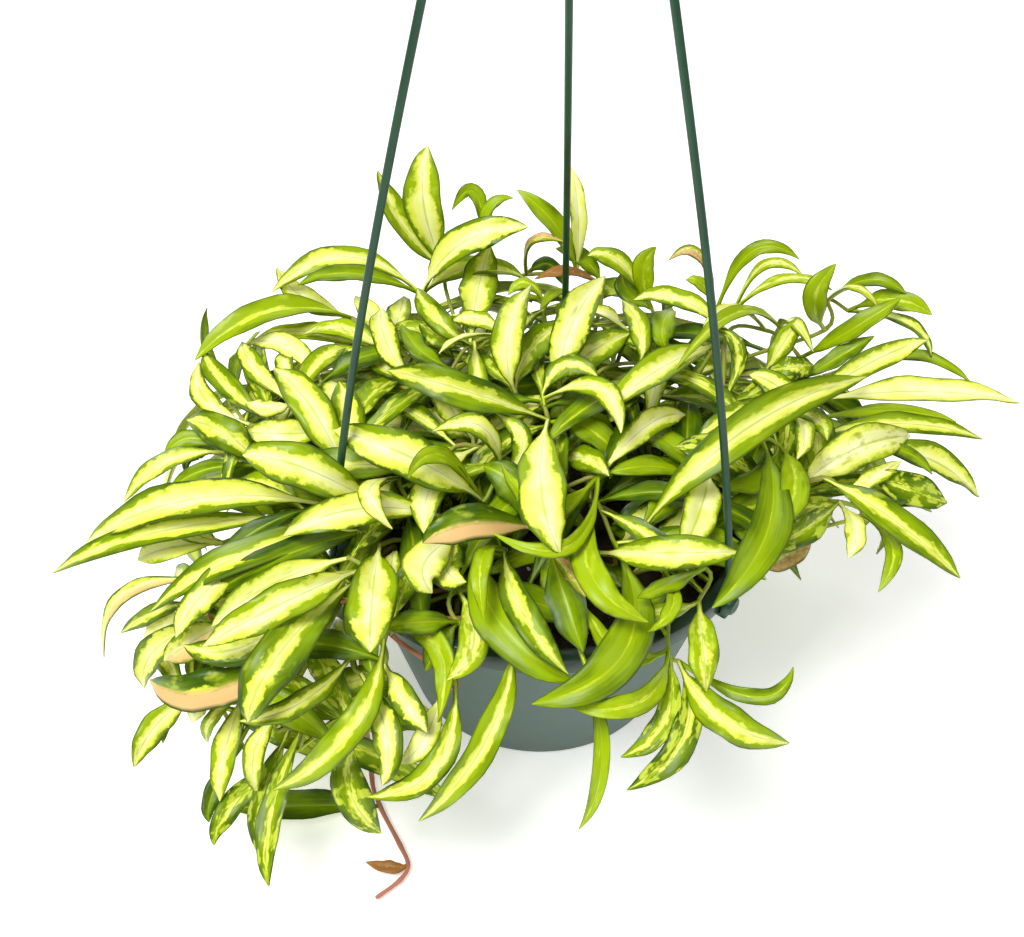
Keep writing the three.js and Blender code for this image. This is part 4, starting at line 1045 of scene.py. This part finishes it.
def covered_leaf(index, start, over, to, wide, near, tone, draw):
    """The leaf that grows under one that is seen, turned aside and shorter."""
    turn = math.radians((-1 if draw() < 0.5 else 1) * drawn(draw, *ASIDE_TURN))
    reach = drawn(draw, *COVERED_REACH)

    def aside(pixel):
        along, down = pixel[0] - start[0], pixel[1] - start[1]
        return (
            start[0] + reach * (along * math.cos(turn) - down * math.sin(turn)),
            start[1] + reach * (along * math.sin(turn) + down * math.cos(turn)),
        )

    depth = drawn(draw, *COVERED_DEPTH)
    width = min(COVERED_WIDEST, max(COVERED_NARROWEST, wide * drawn(draw, *COVERED_WIDTH)))
    kept = draw() < COVERED_SHARE
    plain_tone = "green" if tone in ("brown", "tan", "salmon", "salmon_belly") else tone
    made = leaf_in_view(index, aside(over), aside(to), width, near - depth, plain_tone, rank=COVERED_RANK)
    made.is_inside = is_in_oval(start) and is_in_oval(aside(to))
    made.in_solid = kept and made.is_inside
    return made


def vine_in_view(leaves, seed):
    """The nodes of a vine at a given depth under its leaves, and its leaves."""
    draw = drawer(seed)
    stops = []
    indices = []
    for start, *_ in leaves:
        if not stops or math.dist(start, stops[-1]) >= SAME_NODE_PIXELS:
            stops.append(start)
        indices.append(len(stops) - 1)
    shapes = [leaf_in_view(index, *leaf[1:]) for index, leaf in zip(indices, leaves)]
    shapes += [covered_leaf(index, *leaf[:6], draw) for index, leaf in zip(indices, leaves)]
    return lambda depth: [seen(stop, -depth) for stop in stops], shapes


def trailing_vine():
    """The nodes of the vine that lies on the table, and its leaves."""
    low = FLOOR_CLEARANCE + STEM_RADIUS

    def lifted(pixel):
        return lambda lift: on_floor(pixel, low + 0.5 + abs(lift))

    def upwards(middle):
        return np.array([0, 0, 1.0])

    shapes = [
        Leaf(index, TRAILING_RANK, wide, tone, lifted(over), lifted(to), upwards)
        for index, over, to, wide, tone in TRAILING_LEAVES
    ]
    return lambda depth: [on_floor(stop, low) for stop in TRAILING_STOPS], shapes


def hidden_vine(bearing, reach, size=0.94, fall=20, seed=0):
    """The nodes of a vine that follows the mound out of sight, and its leaves, a pair at each node."""
    draw = drawer(seed)
    stops = [(bearing + NODE_SWAY * (draw() - 0.5), reach * share) for share in HIDDEN_NODES]
    shapes = []

    def lifted(turn, down, share):
        return lambda lift: on_mound(turn, down, share + lift / LIFT_SPAN)

    def facing(middle):
        return unit(outward_at(middle) + np.array([0, 0, HIDDEN_UPWARDS]))

    for index, (turn, down) in enumerate(stops):
        for hand in (-1, 0, 1) if index == len(stops) - 1 else (-1, 1):
            spread = hand * drawn(draw, *HIDDEN_SIDEWAYS)
            drop = drawn(draw, fall, FALL_SPREAD) + (END_FALL if hand == 0 else 0)
            wide = drawn(draw, *HIDDEN_WIDTHS)
            share = drawn(draw, size, SIZE_SPREAD)
            middle = lifted(turn + spread * MIDDLE_TURN, down + drop * 0.5, share)
            tip = lifted(turn + spread, down + drop, share - TIP_DROP)
            tone = HIDDEN_TONES[(seed + len(shapes)) % len(HIDDEN_TONES)]
            twist = HIDDEN_TURN * (draw() - 0.5)
            shapes.append(Leaf(index, HIDDEN_RANK, wide, tone, middle, tip, facing, twist))

    def nodes(depth):
        return [on_mound(turn, down, size + STEM_SHARE - depth / DEPTH_SPAN) for turn, down in stops]

    return nodes, shapes


def hole_place(index):
    """Where a hole in the soil is: the holes follow a spiral, evenly apart."""
    radius = HOLE_SPACING * math.sqrt(index + HOLE_START)
    turn = index * GOLDEN_ANGLE
    return np.array([radius * math.cos(turn), radius * math.sin(turn)])


def rooted(hole, leaf_nodes, rim_turn):
    """A stem's nodes from its hole in the soil, over the rim where it hangs outside, to its last leaves."""
    nodes = [np.array([*hole, SOIL_TOP + rise]) for rise in ROOT_RISES]
    x, y, z = leaf_nodes[0]
    reach = math.hypot(x, y)
    rim_height = POT_HEIGHT + STEM_OVER_RIM
    if reach > RIM_RADIUS + RIM_MARGIN:
        bearing = math.atan2(y, x) + math.radians(rim_turn)
        share = min(1, (reach - RIM_RADIUS) / RIM_EASE)
        height = max(rim_height, rim_height * (1 - share) + z * share)
        nodes.append(np.array([RIM_RADIUS * math.cos(bearing), RIM_RADIUS * math.sin(bearing), height]))
    return nodes + leaf_nodes


def stem_point(nodes, at):
    k = min(max(math.floor(at), 0), len(nodes) - 2)
    place = catmull(nodes, k, min(at, len(nodes) - 1) - k)
    return np.array([place[0], place[1], max(place[2], FLOOR_CLEARANCE + STEM_RADIUS)])


def stalk_place(nodes, at):
    ring = min(2 * at, 2 * (len(nodes) - 1) - STALK_SETBACK)
    low = math.floor(ring)
    return stem_point(nodes, low / 2) * (1 - ring + low) + stem_point(nodes, (low + 1) / 2) * (ring - low)


def stem_rings(nodes):
    return [0, 1, 2] + [2 + i / 2 for i in range(1, 2 * (len(nodes) - 3) + 1)]


def distances(corners, places):
    """From each place to the nearest corner."""
    return np.sqrt(((np.asarray(places)[:, None] - corners[None]) ** 2).sum(2)).min(1)


def found_stem(corners, place):
    """The way that this vine's solid took: the stem whose rings its corners lie on."""
    low = corners[abs(corners[:, 2] - SOIL_TOP + HOLE_DEPTH) < FOOT_DISTANCE]
    holes = [hole_place(i) for i in range(HOLE_COUNT)]
    from_axes = [np.linalg.norm(low[:, :2] - hole, axis=1) for hole in holes]
    on_ring = [(abs(apart - STEM_RADIUS) < HOLE_DISTANCE).sum() for apart in from_axes]
    hole = holes[int(np.argmax(on_ring))]
    best = (-1, None)
    for rim_turn in RIM_TURNS:
        for depth in STEM_DEPTHS:
            nodes = rooted(hole, place(depth), rim_turn)
            rings = np.array([stem_point(nodes, at) for at in stem_rings(nodes)])
            apart = np.linalg.norm(corners[None] - rings[:, None], axis=2)
            count = (abs(apart - STEM_RADIUS) < RING_DISTANCE).sum()
            if count > best[0]:
                best = (count, nodes)
    return best[1]


def found_leaf(corners, leaf, nodes, bare):
    """The place that this leaf's solid took, or None where there was no room for it."""
    stations = REAR_STATIONS if leaf.rank < FRONT_RANK else FRONT_STATIONS
    best = (0, None)
    for shift in STEM_SHIFTS:
        base = stalk_place(nodes, leaf.index + bare + shift)
        for lift in LIFTS:
            placed = leaf.placed(base, lift)
            expected = [placed[2]]
            for t in stations:
                place, along, side, up = rib_frame(*placed, t)
                width = breadth(leaf.wide, t)
                raised = place + up * width * BLADE_FOLD
                expected += [raised - side * width / 2, raised + side * width / 2]
            near = distances(corners, expected)
            score = (near < LEAF_DISTANCE).sum() - near[near < LEAF_DISTANCE].sum()
            if near[0] < LEAF_DISTANCE and score > best[0]:
                best = (score, placed)
    return best[1] if best[0] > len(stations) + 0.5 else None


# Leaves. One leaf is drawn flat: a grid as long as the blade, given its thickness. Each real leaf is a
# copy of it, bent along its own midrib, narrowed to its outline, folded along the midrib and curled.
LEAF_COLUMNS = 8
LEAF_ROWS = 18
FLAT_THICKNESS = 0.1
EVEN_ROWS = 0.55
END_ROWS = 0.45
EDGE_CROWDING = 1.25
LEAF_NARROWING = 0.88
FOOT_SHARE = 0.44
POINT_SHARE = 0.46
END_CURVE = 1.8
FOOT_FULLNESS = 0.9
POINT_FULLNESS = 0.85
LEAF_TWIST = 0.5
LEVEL_SHARE = 0.6
SHARP_BEND = 0.45
FOLD_FACTORS = (1.3, 1.1)
EDGE_ROLL = 0.06
WAVE_SHARE = 0.07
WAVE_RATES = (9, 12)
RIPPLE = 0.4
RIPPLE_RATES = (14, 10)
PHASES = 6.3
BLADE_THICKNESS = 1.3
EDGE_THICKNESS = 0.45
STALK_THICKNESS = 2.0
TIP_THICKNESS = 0.5
TIP_SWELL = 0.9
TIP_START = 0.6
STALK_WIDTH = 2.2
STALK_EASE = 5
TIP_WIDTH = 0.5
MIDRIB_DEPTH = 0.35
MIDRIB_WIDTH = 0.12
MIDRIB_UNDER = 1.3
LEAF_LOWEST = 0.4
CREAM_MOST = 0.97
CREAM_SPREAD = 0.16
LIGHTNESS_SPREAD = 0.3
LOTS = 50
TONES = {
    # share of the width that is cream, lightness of the green, mottling, blush, drying
    "cream": (0.76, 0.7, 0.2, 0, 0),
    "stripe": (0.5, 0.65, 0.25, 0, 0),
    "green": (-0.1, 0.7, 0.15, 0, 0),
    "dark": (-0.3, 0.3, 0.1, 0, 0),
    "lime": (0.1, 1, 0.3, 0, 0),
    "yellow": (0.55, 1, 0.6, 0, 0.12),
    "pale": (0.97, 0.9, 0.15, 0, 0),
    "mottled": (0.25, 0.5, 1, 0, 0.05),
    "salmon": (0.8, 0.6, 0.3, 0.5, 0.1),
    "salmon_belly": (0, 0.3, 0.3, 0.7, 0),
    "speckled": (0.9, 0.9, 0.4, 0, 0.3),
    "tan": (0.6, 0.6, 0.3, 0.6, 0.5),
    "brown": (0.5, 0.3, 0.3, 0.1, 1),
}

leaf_master = added(
    "leaf", bpy.ops.mesh.primitive_grid_add, x_subdivisions=LEAF_COLUMNS, y_subdivisions=LEAF_ROWS, size=1
)
apply(leaf_master, "SOLIDIFY", thickness=FLAT_THICKNESS, offset=0)
flat = np.array([vertex.co for vertex in leaf_master.data.vertices])
leaf_across = flat[:, 0] * 2
leaf_along = flat[:, 1] + 0.5
leaf_side = np.sign(flat[:, 2])
leaf_along = EVEN_ROWS * leaf_along + END_ROWS * (1 - np.cos(np.pi * leaf_along)) / 2
leaf_across = np.sign(leaf_across) * abs(leaf_across) ** EDGE_CROWDING
hold(leaf_master, "under", leaf_side < 0)


def new_leaf(placed, wide, tone, draw):
    """A copy of the flat leaf, bent to its place."""
    base, middle, tip, facing = placed
    t = leaf_along[:, None]
    control = 2 * middle - base / 2 - tip / 2
    rib = (1 - t) ** 2 * base + 2 * t * (1 - t) * control + t * t * tip
    along = (1 - t) * (control - base) + t * (tip - control)
    speed = np.linalg.norm(along, axis=1)
    bend = np.linalg.norm(np.cross(along, tip - 2 * control + base), axis=1) / 2 / speed**3
    along /= speed[:, None]
    twist = t * LEAF_TWIST * (2 * draw() - 1)
    level = np.cross(along, facing)
    chord_side = unit(np.cross(tip - base, facing))
    level += chord_side * np.clip(LEVEL_SHARE - level @ chord_side, 0, None)[:, None]
    level -= along * (level * along).sum(1)[:, None]
    level /= np.linalg.norm(level, axis=1)[:, None]
    side = level * np.cos(twist) + np.cross(level, along) * np.sin(twist)
    up = np.cross(side, along)
    share = np.clip((leaf_along - PETIOLE_SHARE) / (1 - PETIOLE_SHARE), 0, 1)
    from_foot = 1 - np.clip(1 - share / FOOT_SHARE, 0, 1) ** END_CURVE
    from_tip = 1 - np.clip(1 - (1 - share) / POINT_SHARE, 0, 1) ** END_CURVE
    tapered = LEAF_NARROWING * wide * from_foot**FOOT_FULLNESS * from_tip**POINT_FULLNESS
    wave = np.sin(leaf_along * drawn(draw, *WAVE_RATES) + PHASES * draw())
    stalk = STALK_WIDTH + (TIP_WIDTH - STALK_WIDTH) * np.clip((leaf_along - 0.5) * 2, 0, 1)
    width = np.maximum(stalk, tapered * (1 + WAVE_SHARE * wave * np.sign(leaf_across)))
    blade = np.clip((width - STALK_WIDTH) / STALK_EASE, 0, 1)
    edge = abs(leaf_across)
    thick = STALK_THICKNESS * (1 - blade) + BLADE_THICKNESS * blade
    thin_tip = np.minimum(thick, TIP_THICKNESS + TIP_SWELL * blade)
    thick = np.where(leaf_along > TIP_START, thin_tip, thick)
    thick = thick * (1 - edge**3) + EDGE_THICKNESS * edge**3
    fold = BLADE_FOLD * drawn(draw, *FOLD_FACTORS)
    fold = fold / (1 + (bend * width / SHARP_BEND) ** 4)
    ripple = np.sin(leaf_along * drawn(draw, *RIPPLE_RATES) + PHASES * draw() + 2 * np.sign(leaf_across))
    lift = (fold * width * edge**1.5 - EDGE_ROLL * width * edge**8 + RIPPLE * ripple * edge**2) * blade
    groove = MIDRIB_DEPTH * np.exp(-((leaf_across / MIDRIB_WIDTH) ** 2)) * blade
    height = lift + leaf_side * thick / 2 - groove * (leaf_side > 0) - groove * MIDRIB_UNDER * (leaf_side < 0)
    place = rib + side * (leaf_across * width / 2)[:, None] + up * height[:, None]
    place[:, 2] = np.maximum(place[:, 2], LEAF_LOWEST)
    made = copy_of(leaf_master)
    made.data.vertices.foreach_set("co", (place * MM).astype(np.float32).ravel())
    cream, lightness, mottle, blush, drying = TONES[tone]
    cream = min(CREAM_MOST, cream + CREAM_SPREAD * (draw() - 0.5))
    lightness = min(1, max(0, lightness + LIGHTNESS_SPREAD * (draw() - 0.5)))
    values = {
        "cream": cream, "lightness": lightness, "mottle": mottle, "blush": blush, "drying": drying,
        "lot": LOTS * draw(),
    }
    for name, value in values.items():
        hold(made, name, value)
    made.data.materials.append(leaf_finish.material)
    return made


# A stem's rings from one node to the next, its widths as shares of STEM_RADIUS, and how it swells at a node.
STEM_STEPS = 6
STEM_SIDES = 8
STEM_WIDTH = 0.74
STEM_TAPER = 0.22
STEM_END = 0.5
NODE_SWELL = 0.22
SWELL_STEPS = 1.1


def new_stem(nodes, blush):
    """A stem from the soil to its last leaves, a little thicker at each node and thinner to its end."""
    places, radii = [], []
    for k in range(len(nodes) - 1):
        for step in range(STEM_STEPS):
            at = k + step / STEM_STEPS
            places.append(stem_point(nodes, at))
            off_node = step if step < STEM_STEPS / 2 else step - STEM_STEPS
            swell = NODE_SWELL * math.exp(-((off_node / SWELL_STEPS) ** 2)) if k > 2 else 0
            radii.append(STEM_RADIUS * (STEM_WIDTH - STEM_TAPER * at / len(nodes)) + swell)
    places.append(stem_point(nodes, len(nodes) - 1))
    radii.append(STEM_RADIUS * STEM_END)
    made = rod("stem", places, radii, STEM_SIDES)
    hold(made, "blush", blush)
    made.data.materials.append(stem_finish.material)
    return made


# The skin of a leaf: cream to yellow along the middle and green from an uneven margin out, with patches of
# green, a pale midrib, a dark edge, and on some leaves a pink blush or a dried part.
CREAM = linear(254, 254, 196)
YELLOW = linear(236, 241, 58)
LIME = linear(170, 196, 6)
FRESH_GREEN = linear(116, 148, 4)
DEEP_GREEN = linear(58, 88, 4)
EDGE_GREEN = linear(56, 80, 8)
UNDER_CREAM = linear(222, 230, 140)
SALMON = linear(232, 190, 126)
DRIED = linear(160, 108, 56)
leaf_finish = Finish("leaf_skin", Specular_IOR_Level=0.18, Coat_Weight=0.1, Coat_Roughness=0.28)

uv = leaf_finish.node("ShaderNodeUVMap", {"uv_map": "UVMap"})
across = leaf_finish.node("ShaderNodeSeparateXYZ", out="X", Vector=uv)
along = leaf_finish.node("ShaderNodeSeparateXYZ", out="Y", Vector=uv)
off_rib = abs(across - 0.5) * 2
lot = leaf_finish.held("lot")
mottle = leaf_finish.held("mottle")


def on_leaf(sideways, lengthways):
    """A place on the leaf for the noise, which is another one on each leaf."""
    settings = {"X": across * sideways + lot, "Y": along * lengthways + lot, "Z": lot}
    return leaf_finish.node("ShaderNodeCombineXYZ", **settings)


drift = leaf_finish.noise(on_leaf(1.3, 4), scale=1.1, detail=2)
ragged = leaf_finish.noise(on_leaf(1.3, 4), scale=5, detail=5, roughness=0.62)
streak = leaf_finish.noise(on_leaf(8, 2.2), scale=1.5, detail=4, roughness=0.65)
blotch = leaf_finish.noise(on_leaf(4, 9), scale=0.9, detail=2)

margin = leaf_finish.held("cream") + (drift - 0.5) * 1.1 + (ragged - 0.5) * 0.6 + (streak - 0.5) * 0.25
past = off_rib - margin
patches = ((blotch - 0.5) * 7 * mottle + (streak - 0.5) * 2 * mottle).ramp(0.15, 0.6)
is_yellow = (past + (blotch - 0.5) * 0.6).ramp(-0.6, -0.1)
is_lime = past.ramp(-0.26, 0.02)
is_green = past.ramp(-0.03, 0.04)
is_green = is_green * (1 - patches * 0.85) + (1 - is_green) * patches * 0.9
shade = 0.7 - leaf_finish.held("lightness")
# Deeper green towards the margins is painted shade of the curved blade, leaving the middle lighter as a
# painted sheen; the noise and the leaf's lightness give its own tone.
deep_tone_and_margin_shade = (off_rib * 0.8 - 0.4 + (drift - 0.5) * 1.4 + (streak - 0.5) + shade).ramp(-0.1, 0.7)

skin = leaf_finish.mix(drift.ramp(0.42, 0.7) * 0.7, CREAM, YELLOW)
skin = leaf_finish.mix(is_yellow * 0.8, skin, YELLOW)
skin = leaf_finish.mix(is_lime * streak.ramp(0.2, 0.7), skin, LIME)
fresh = leaf_finish.mix(leaf_finish.held("lightness").ramp(0.1, 1) * 0.8, FRESH_GREEN, LIME)
skin = leaf_finish.mix(is_green, skin, leaf_finish.mix(deep_tone_and_margin_shade, fresh, DEEP_GREEN))
skin = leaf_finish.mix(off_rib.ramp(0.9, 0.99) * 0.8, skin, EDGE_GREEN)
rib_line = 1 - (off_rib - drift.ramp(0.4, 0.7) * along * 0.12).ramp(0.015, 0.07)
skin = leaf_finish.mix(rib_line * (0.55 - is_green * 0.3), skin, leaf_finish.mix(is_green, LIME, YELLOW))
under = leaf_finish.held("under").ramp(0.4, 0.6)
skin = leaf_finish.mix(under * 0.4, skin, UNDER_CREAM)
blush = leaf_finish.held("blush") * ((1 - across.ramp(0.34, 0.66)) * 1.3 + (ragged - 0.5) * 0.9)
skin = leaf_finish.mix(blush.ramp(0.1, 0.8) * (1 - off_rib.ramp(0.78, 0.93)), skin, SALMON)
drying = (leaf_finish.held("drying") + (ragged - 0.5) * 1.6).ramp(0.4, 0.95)
skin = leaf_finish.mix(drying, skin, DRIED)
leaf_finish.set(Base_Color=skin, Roughness=0.34 + under * 0.2 + drying * 0.2)
leaf_finish.bump(streak * 0.5 + ragged * 0.5, strength=0.35, depth=0.6)

STEM_GREEN = linear(146, 162, 48)
STEM_TAN = linear(168, 150, 80)
STEM_PINK = linear(188, 118, 98)
stem_finish = Finish("stem_bark", Roughness=0.55)
at = stem_finish.places()
lumps = stem_finish.noise(at, scale=130, detail=4)
is_pink = (stem_finish.held("blush") + (lumps - 0.5) * 0.6).ramp(0.6, 1)
stem_green = stem_finish.mix(lumps.ramp(0.45, 0.8), STEM_GREEN, STEM_TAN)
stem_finish.set(Base_Color=stem_finish.mix(is_pink, stem_green, STEM_PINK))
stem_finish.bump(lumps, strength=0.5, depth=0.5)


# Leaves under the outer ones. The real mound is full of them and the solids have only a few, so each vine
# gets more, on its stem. Each is tried as a plain blade and kept where there is room for it, under the
# mound's outer leaves and not in front of the parts of the photograph where wall or table are bare.
TRIAL_STATIONS = [0.13, 0.35, 0.6, 0.85]
TRIAL_WIDTH = 0.95
TRIAL_THICKNESS = 2
BARE_PARTS = [(445, 640, 690, 770), (690, 590, 860, 720), (860, 520, 1024, 700)]
INSIDE_SHARE = 0.94
INNER_LOWEST = 6
SPARE_LIFTS = LIFTS[:7]
SPARE_LOWEST = 3
SPARE_DEPTH = 4
INNER_TRIES = 24
INNER_HANDS = 2
INNER_START = 2.2
INNER_STEP = 0.5
INNER_SHIFT = 0.3
INNER_RISES = (-0.3, 1.2)
INNER_LENGTHS = (38, 46)
INNER_WIDTHS = (10, 8)
INNER_SAGS = (0.1, 0.3)
INNER_MIDDLE = 0.52
INNER_ARCH = 0.2
INNER_TO_VIEWER = 0.7
INNER_UPWARDS = 0.3
INNER_TONES = ["lime", "green", "cream", "stripe", "lime", "pale", "mottled", "dark", "stripe", "cream"]
# Each inner leaf takes a tone one step greener and darker than its own: painted shade inside the mound.
PAINTED_SHADE_TONES = {"cream": "stripe", "pale": "cream", "lime": "green", "green": "dark", "stripe": "mottled"}


def corners_of(thing):
    return np.array([vertex.co for vertex in thing.data.vertices]) / MM


class Crowd:
    """What stands already, so that a new leaf may be kept clear of it."""

    def __init__(self):
        self.trees = []

    def add(self, places, faces):
        box = np.array([places.min(0), places.max(0)])
        self.trees.append((box, BVHTree.FromPolygons(places.tolist(), faces)))

    def add_object(self, thing):
        self.add(corners_of(thing), [list(face.vertices) for face in thing.data.polygons])

    def has_room(self, places, faces):
        low, high = places.min(0), places.max(0)
        tree = BVHTree.FromPolygons(places.tolist(), faces)
        for box, other in self.trees:
            if (box[0] < high).all() and (box[1] > low).all() and tree.overlap(other):
                return False
        return True


def trial_blade(placed, wide):
    """A plain blade without its stalk, to try whether there is room for a leaf."""
    places = []
    for t in TRIAL_STATIONS:
        place, along, side, up = rib_frame(*placed, t)
        width = breadth(wide, t) * TRIAL_WIDTH
        raised = place + up * width * BLADE_FOLD
        places += [raised - side * width / 2, place + up * TRIAL_THICKNESS / 2]
        places += [raised + side * width / 2, place - up * TRIAL_THICKNESS / 2]
    places.append(placed[2])
    last = len(places) - 1
    faces = [[0, 1, 2, 3]]
    for near in range(0, last - 4, 4):
        faces += [[near + k, near + (k + 1) % 4, near + 4 + (k + 1) % 4, near + 4 + k] for k in range(4)]
    faces += [[last - 4 + k, last - 4 + (k + 1) % 4, last] for k in range(4)]
    return np.array(places), faces


def pixel_of(place):
    away = place - VIEW_POINT
    depth = away @ view_forward
    across = VIEW_CENTRE[0] + VIEW_FOCAL * (away @ view_right) / depth
    return across, VIEW_CENTRE[1] - VIEW_FOCAL * (away @ view_up) / depth


def is_on_bare_part(place):
    """Whether a place is seen in front of the basket's bare wall or of the table beside it."""
    across, down = pixel_of(place)
    return any(x0 < across < x1 and y0 < down < y1 for x0, y0, x1, y1 in BARE_PARTS)


def is_covered(place, cover):
    """Whether a place lies under the mound's outer leaves, by so many millimetres."""
    size = np.linalg.norm((place - MOUND_CENTRE) / MOUND_RADII)
    behind = np.linalg.norm(place - VIEW_POINT) - np.linalg.norm(seen(pixel_of(place), 0) - VIEW_POINT)
    return size < INSIDE_SHARE and behind > cover and place[2] > INNER_LOWEST


def settles(placed, wide, lowest=-math.inf):
    """Whether there is room for a leaf, which then takes it."""
    places, faces = trial_blade(placed, wide)
    if places[:, 2].min() <= lowest or any(is_on_bare_part(place) for place in places):
        return False
    if not crowd.has_room(places, faces):
        return False
    crowd.add(places, faces)
    return True


def drawn_leaf(nodes, at, draw):
    """A leaf that springs from a stem in any direction and sags, with its width."""
    base = stem_point(nodes, drawn(draw, at, INNER_SHIFT))
    bearing = 2 * math.pi * draw()
    rise = drawn(draw, *INNER_RISES)
    length = drawn(draw, *INNER_LENGTHS)
    wide = drawn(draw, *INNER_WIDTHS)
    heading = unit(np.array([math.cos(bearing), math.sin(bearing), rise]))
    sag = np.array([0, 0, length * drawn(draw, *INNER_SAGS)])
    middle = base + heading * length * INNER_MIDDLE + sag * INNER_ARCH
    tip = base + heading * length - sag
    facing = outward_at(middle) * OUTWARD_SHARE + unit(VIEW_POINT - middle) * INNER_TO_VIEWER
    facing = unit(facing + np.array([0, 0, INNER_UPWARDS]))
    return (base, middle, tip, squared(facing, unit(tip - base))), wide


def inner_leaves(nodes, bare, spare, draw):
    """What finds room under a vine's outer leaves: of its spare leaves first, and then of drawn ones."""
    found = []
    for leaf in spare:
        base = stalk_place(nodes, leaf.index + bare)
        for lift in SPARE_LIFTS:
            placed = leaf.placed(base, (lift[0] - SPARE_DEPTH, lift[1] - SPARE_DEPTH))
            if settles(placed, leaf.wide, SPARE_LOWEST):
                found.append((placed, leaf.wide, leaf.tone))
                break
    at = INNER_START
    while at < len(nodes) - 1:
        for _ in range(INNER_HANDS):
            for _ in range(INNER_TRIES):
                placed, wide = drawn_leaf(nodes, at, draw)
                if is_covered(placed[1], 2) and is_covered(placed[2], 0) and settles(placed, wide):
                    found.append((placed, wide, INNER_TONES[int(draw() * len(INNER_TONES))]))
                    break
        at += INNER_STEP
    # The step to a greener, darker tone is painted shade inside the mound.
    return [(placed, wide, PAINTED_SHADE_TONES.get(tone, tone)) for placed, wide, tone in found]


crowd = Crowd()
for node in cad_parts.values():
    crowd.add_object(node)


# The vines. Each is one piece, a stem with its leaves, and stands for one solid: its outer leaves lie where
# that solid's lie, and the leaves for which the solid had no room are tried again as inner ones.
IN_VIEW_SEED = 900
HIDDEN_SEED = 500
VINE_SEED = 7000
PINK_STEMS = ["trailing", "left_drop", "front_twist"]
VINE_SMOOTH_ANGLE = 80

grown = [("trailing", *trailing_vine())]
for i, (name, leaves) in enumerate(VINES.items()):
    grown.append((name, *vine_in_view(leaves, IN_VIEW_SEED + i)))
for i, (name, where) in enumerate(HIDDEN_VINES.items()):
    grown.append((name, *hidden_vine(*where, seed=HIDDEN_SEED + i)))

for i, (name, place, leaves) in enumerate(grown):
    draw = drawer(VINE_SEED + i)
    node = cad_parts[f"vine_{name}"]
    corners = np.unique(np.round(corners_of(node), 3), axis=0)
    nodes = found_stem(corners, place)
    bare = len(nodes) - len(place(0))
    outer = []
    spare = []
    for leaf in leaves:
        if leaf.in_solid:
            placed = found_leaf(corners, leaf, nodes, bare)
            if placed is None:
                spare.append(leaf)
            else:
                outer.append((placed, leaf.wide, leaf.tone))
    spare += [leaf for leaf in leaves if leaf.is_inside and not leaf.in_solid]
    stem = new_stem(nodes, 1 if name in PINK_STEMS else 0.5 * draw())
    inner = inner_leaves(nodes, bare, spare, draw) if name != "trailing" else []
    blades = [new_leaf(placed, wide, tone, draw) for placed, wide, tone in outer + inner]
    vine = joined(f"hoya_{name}", *blades, stem)
    smooth(vine, VINE_SMOOTH_ANGLE)
    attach(vine, "root")
    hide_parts(node.name)
bpy.data.objects.remove(leaf_master)
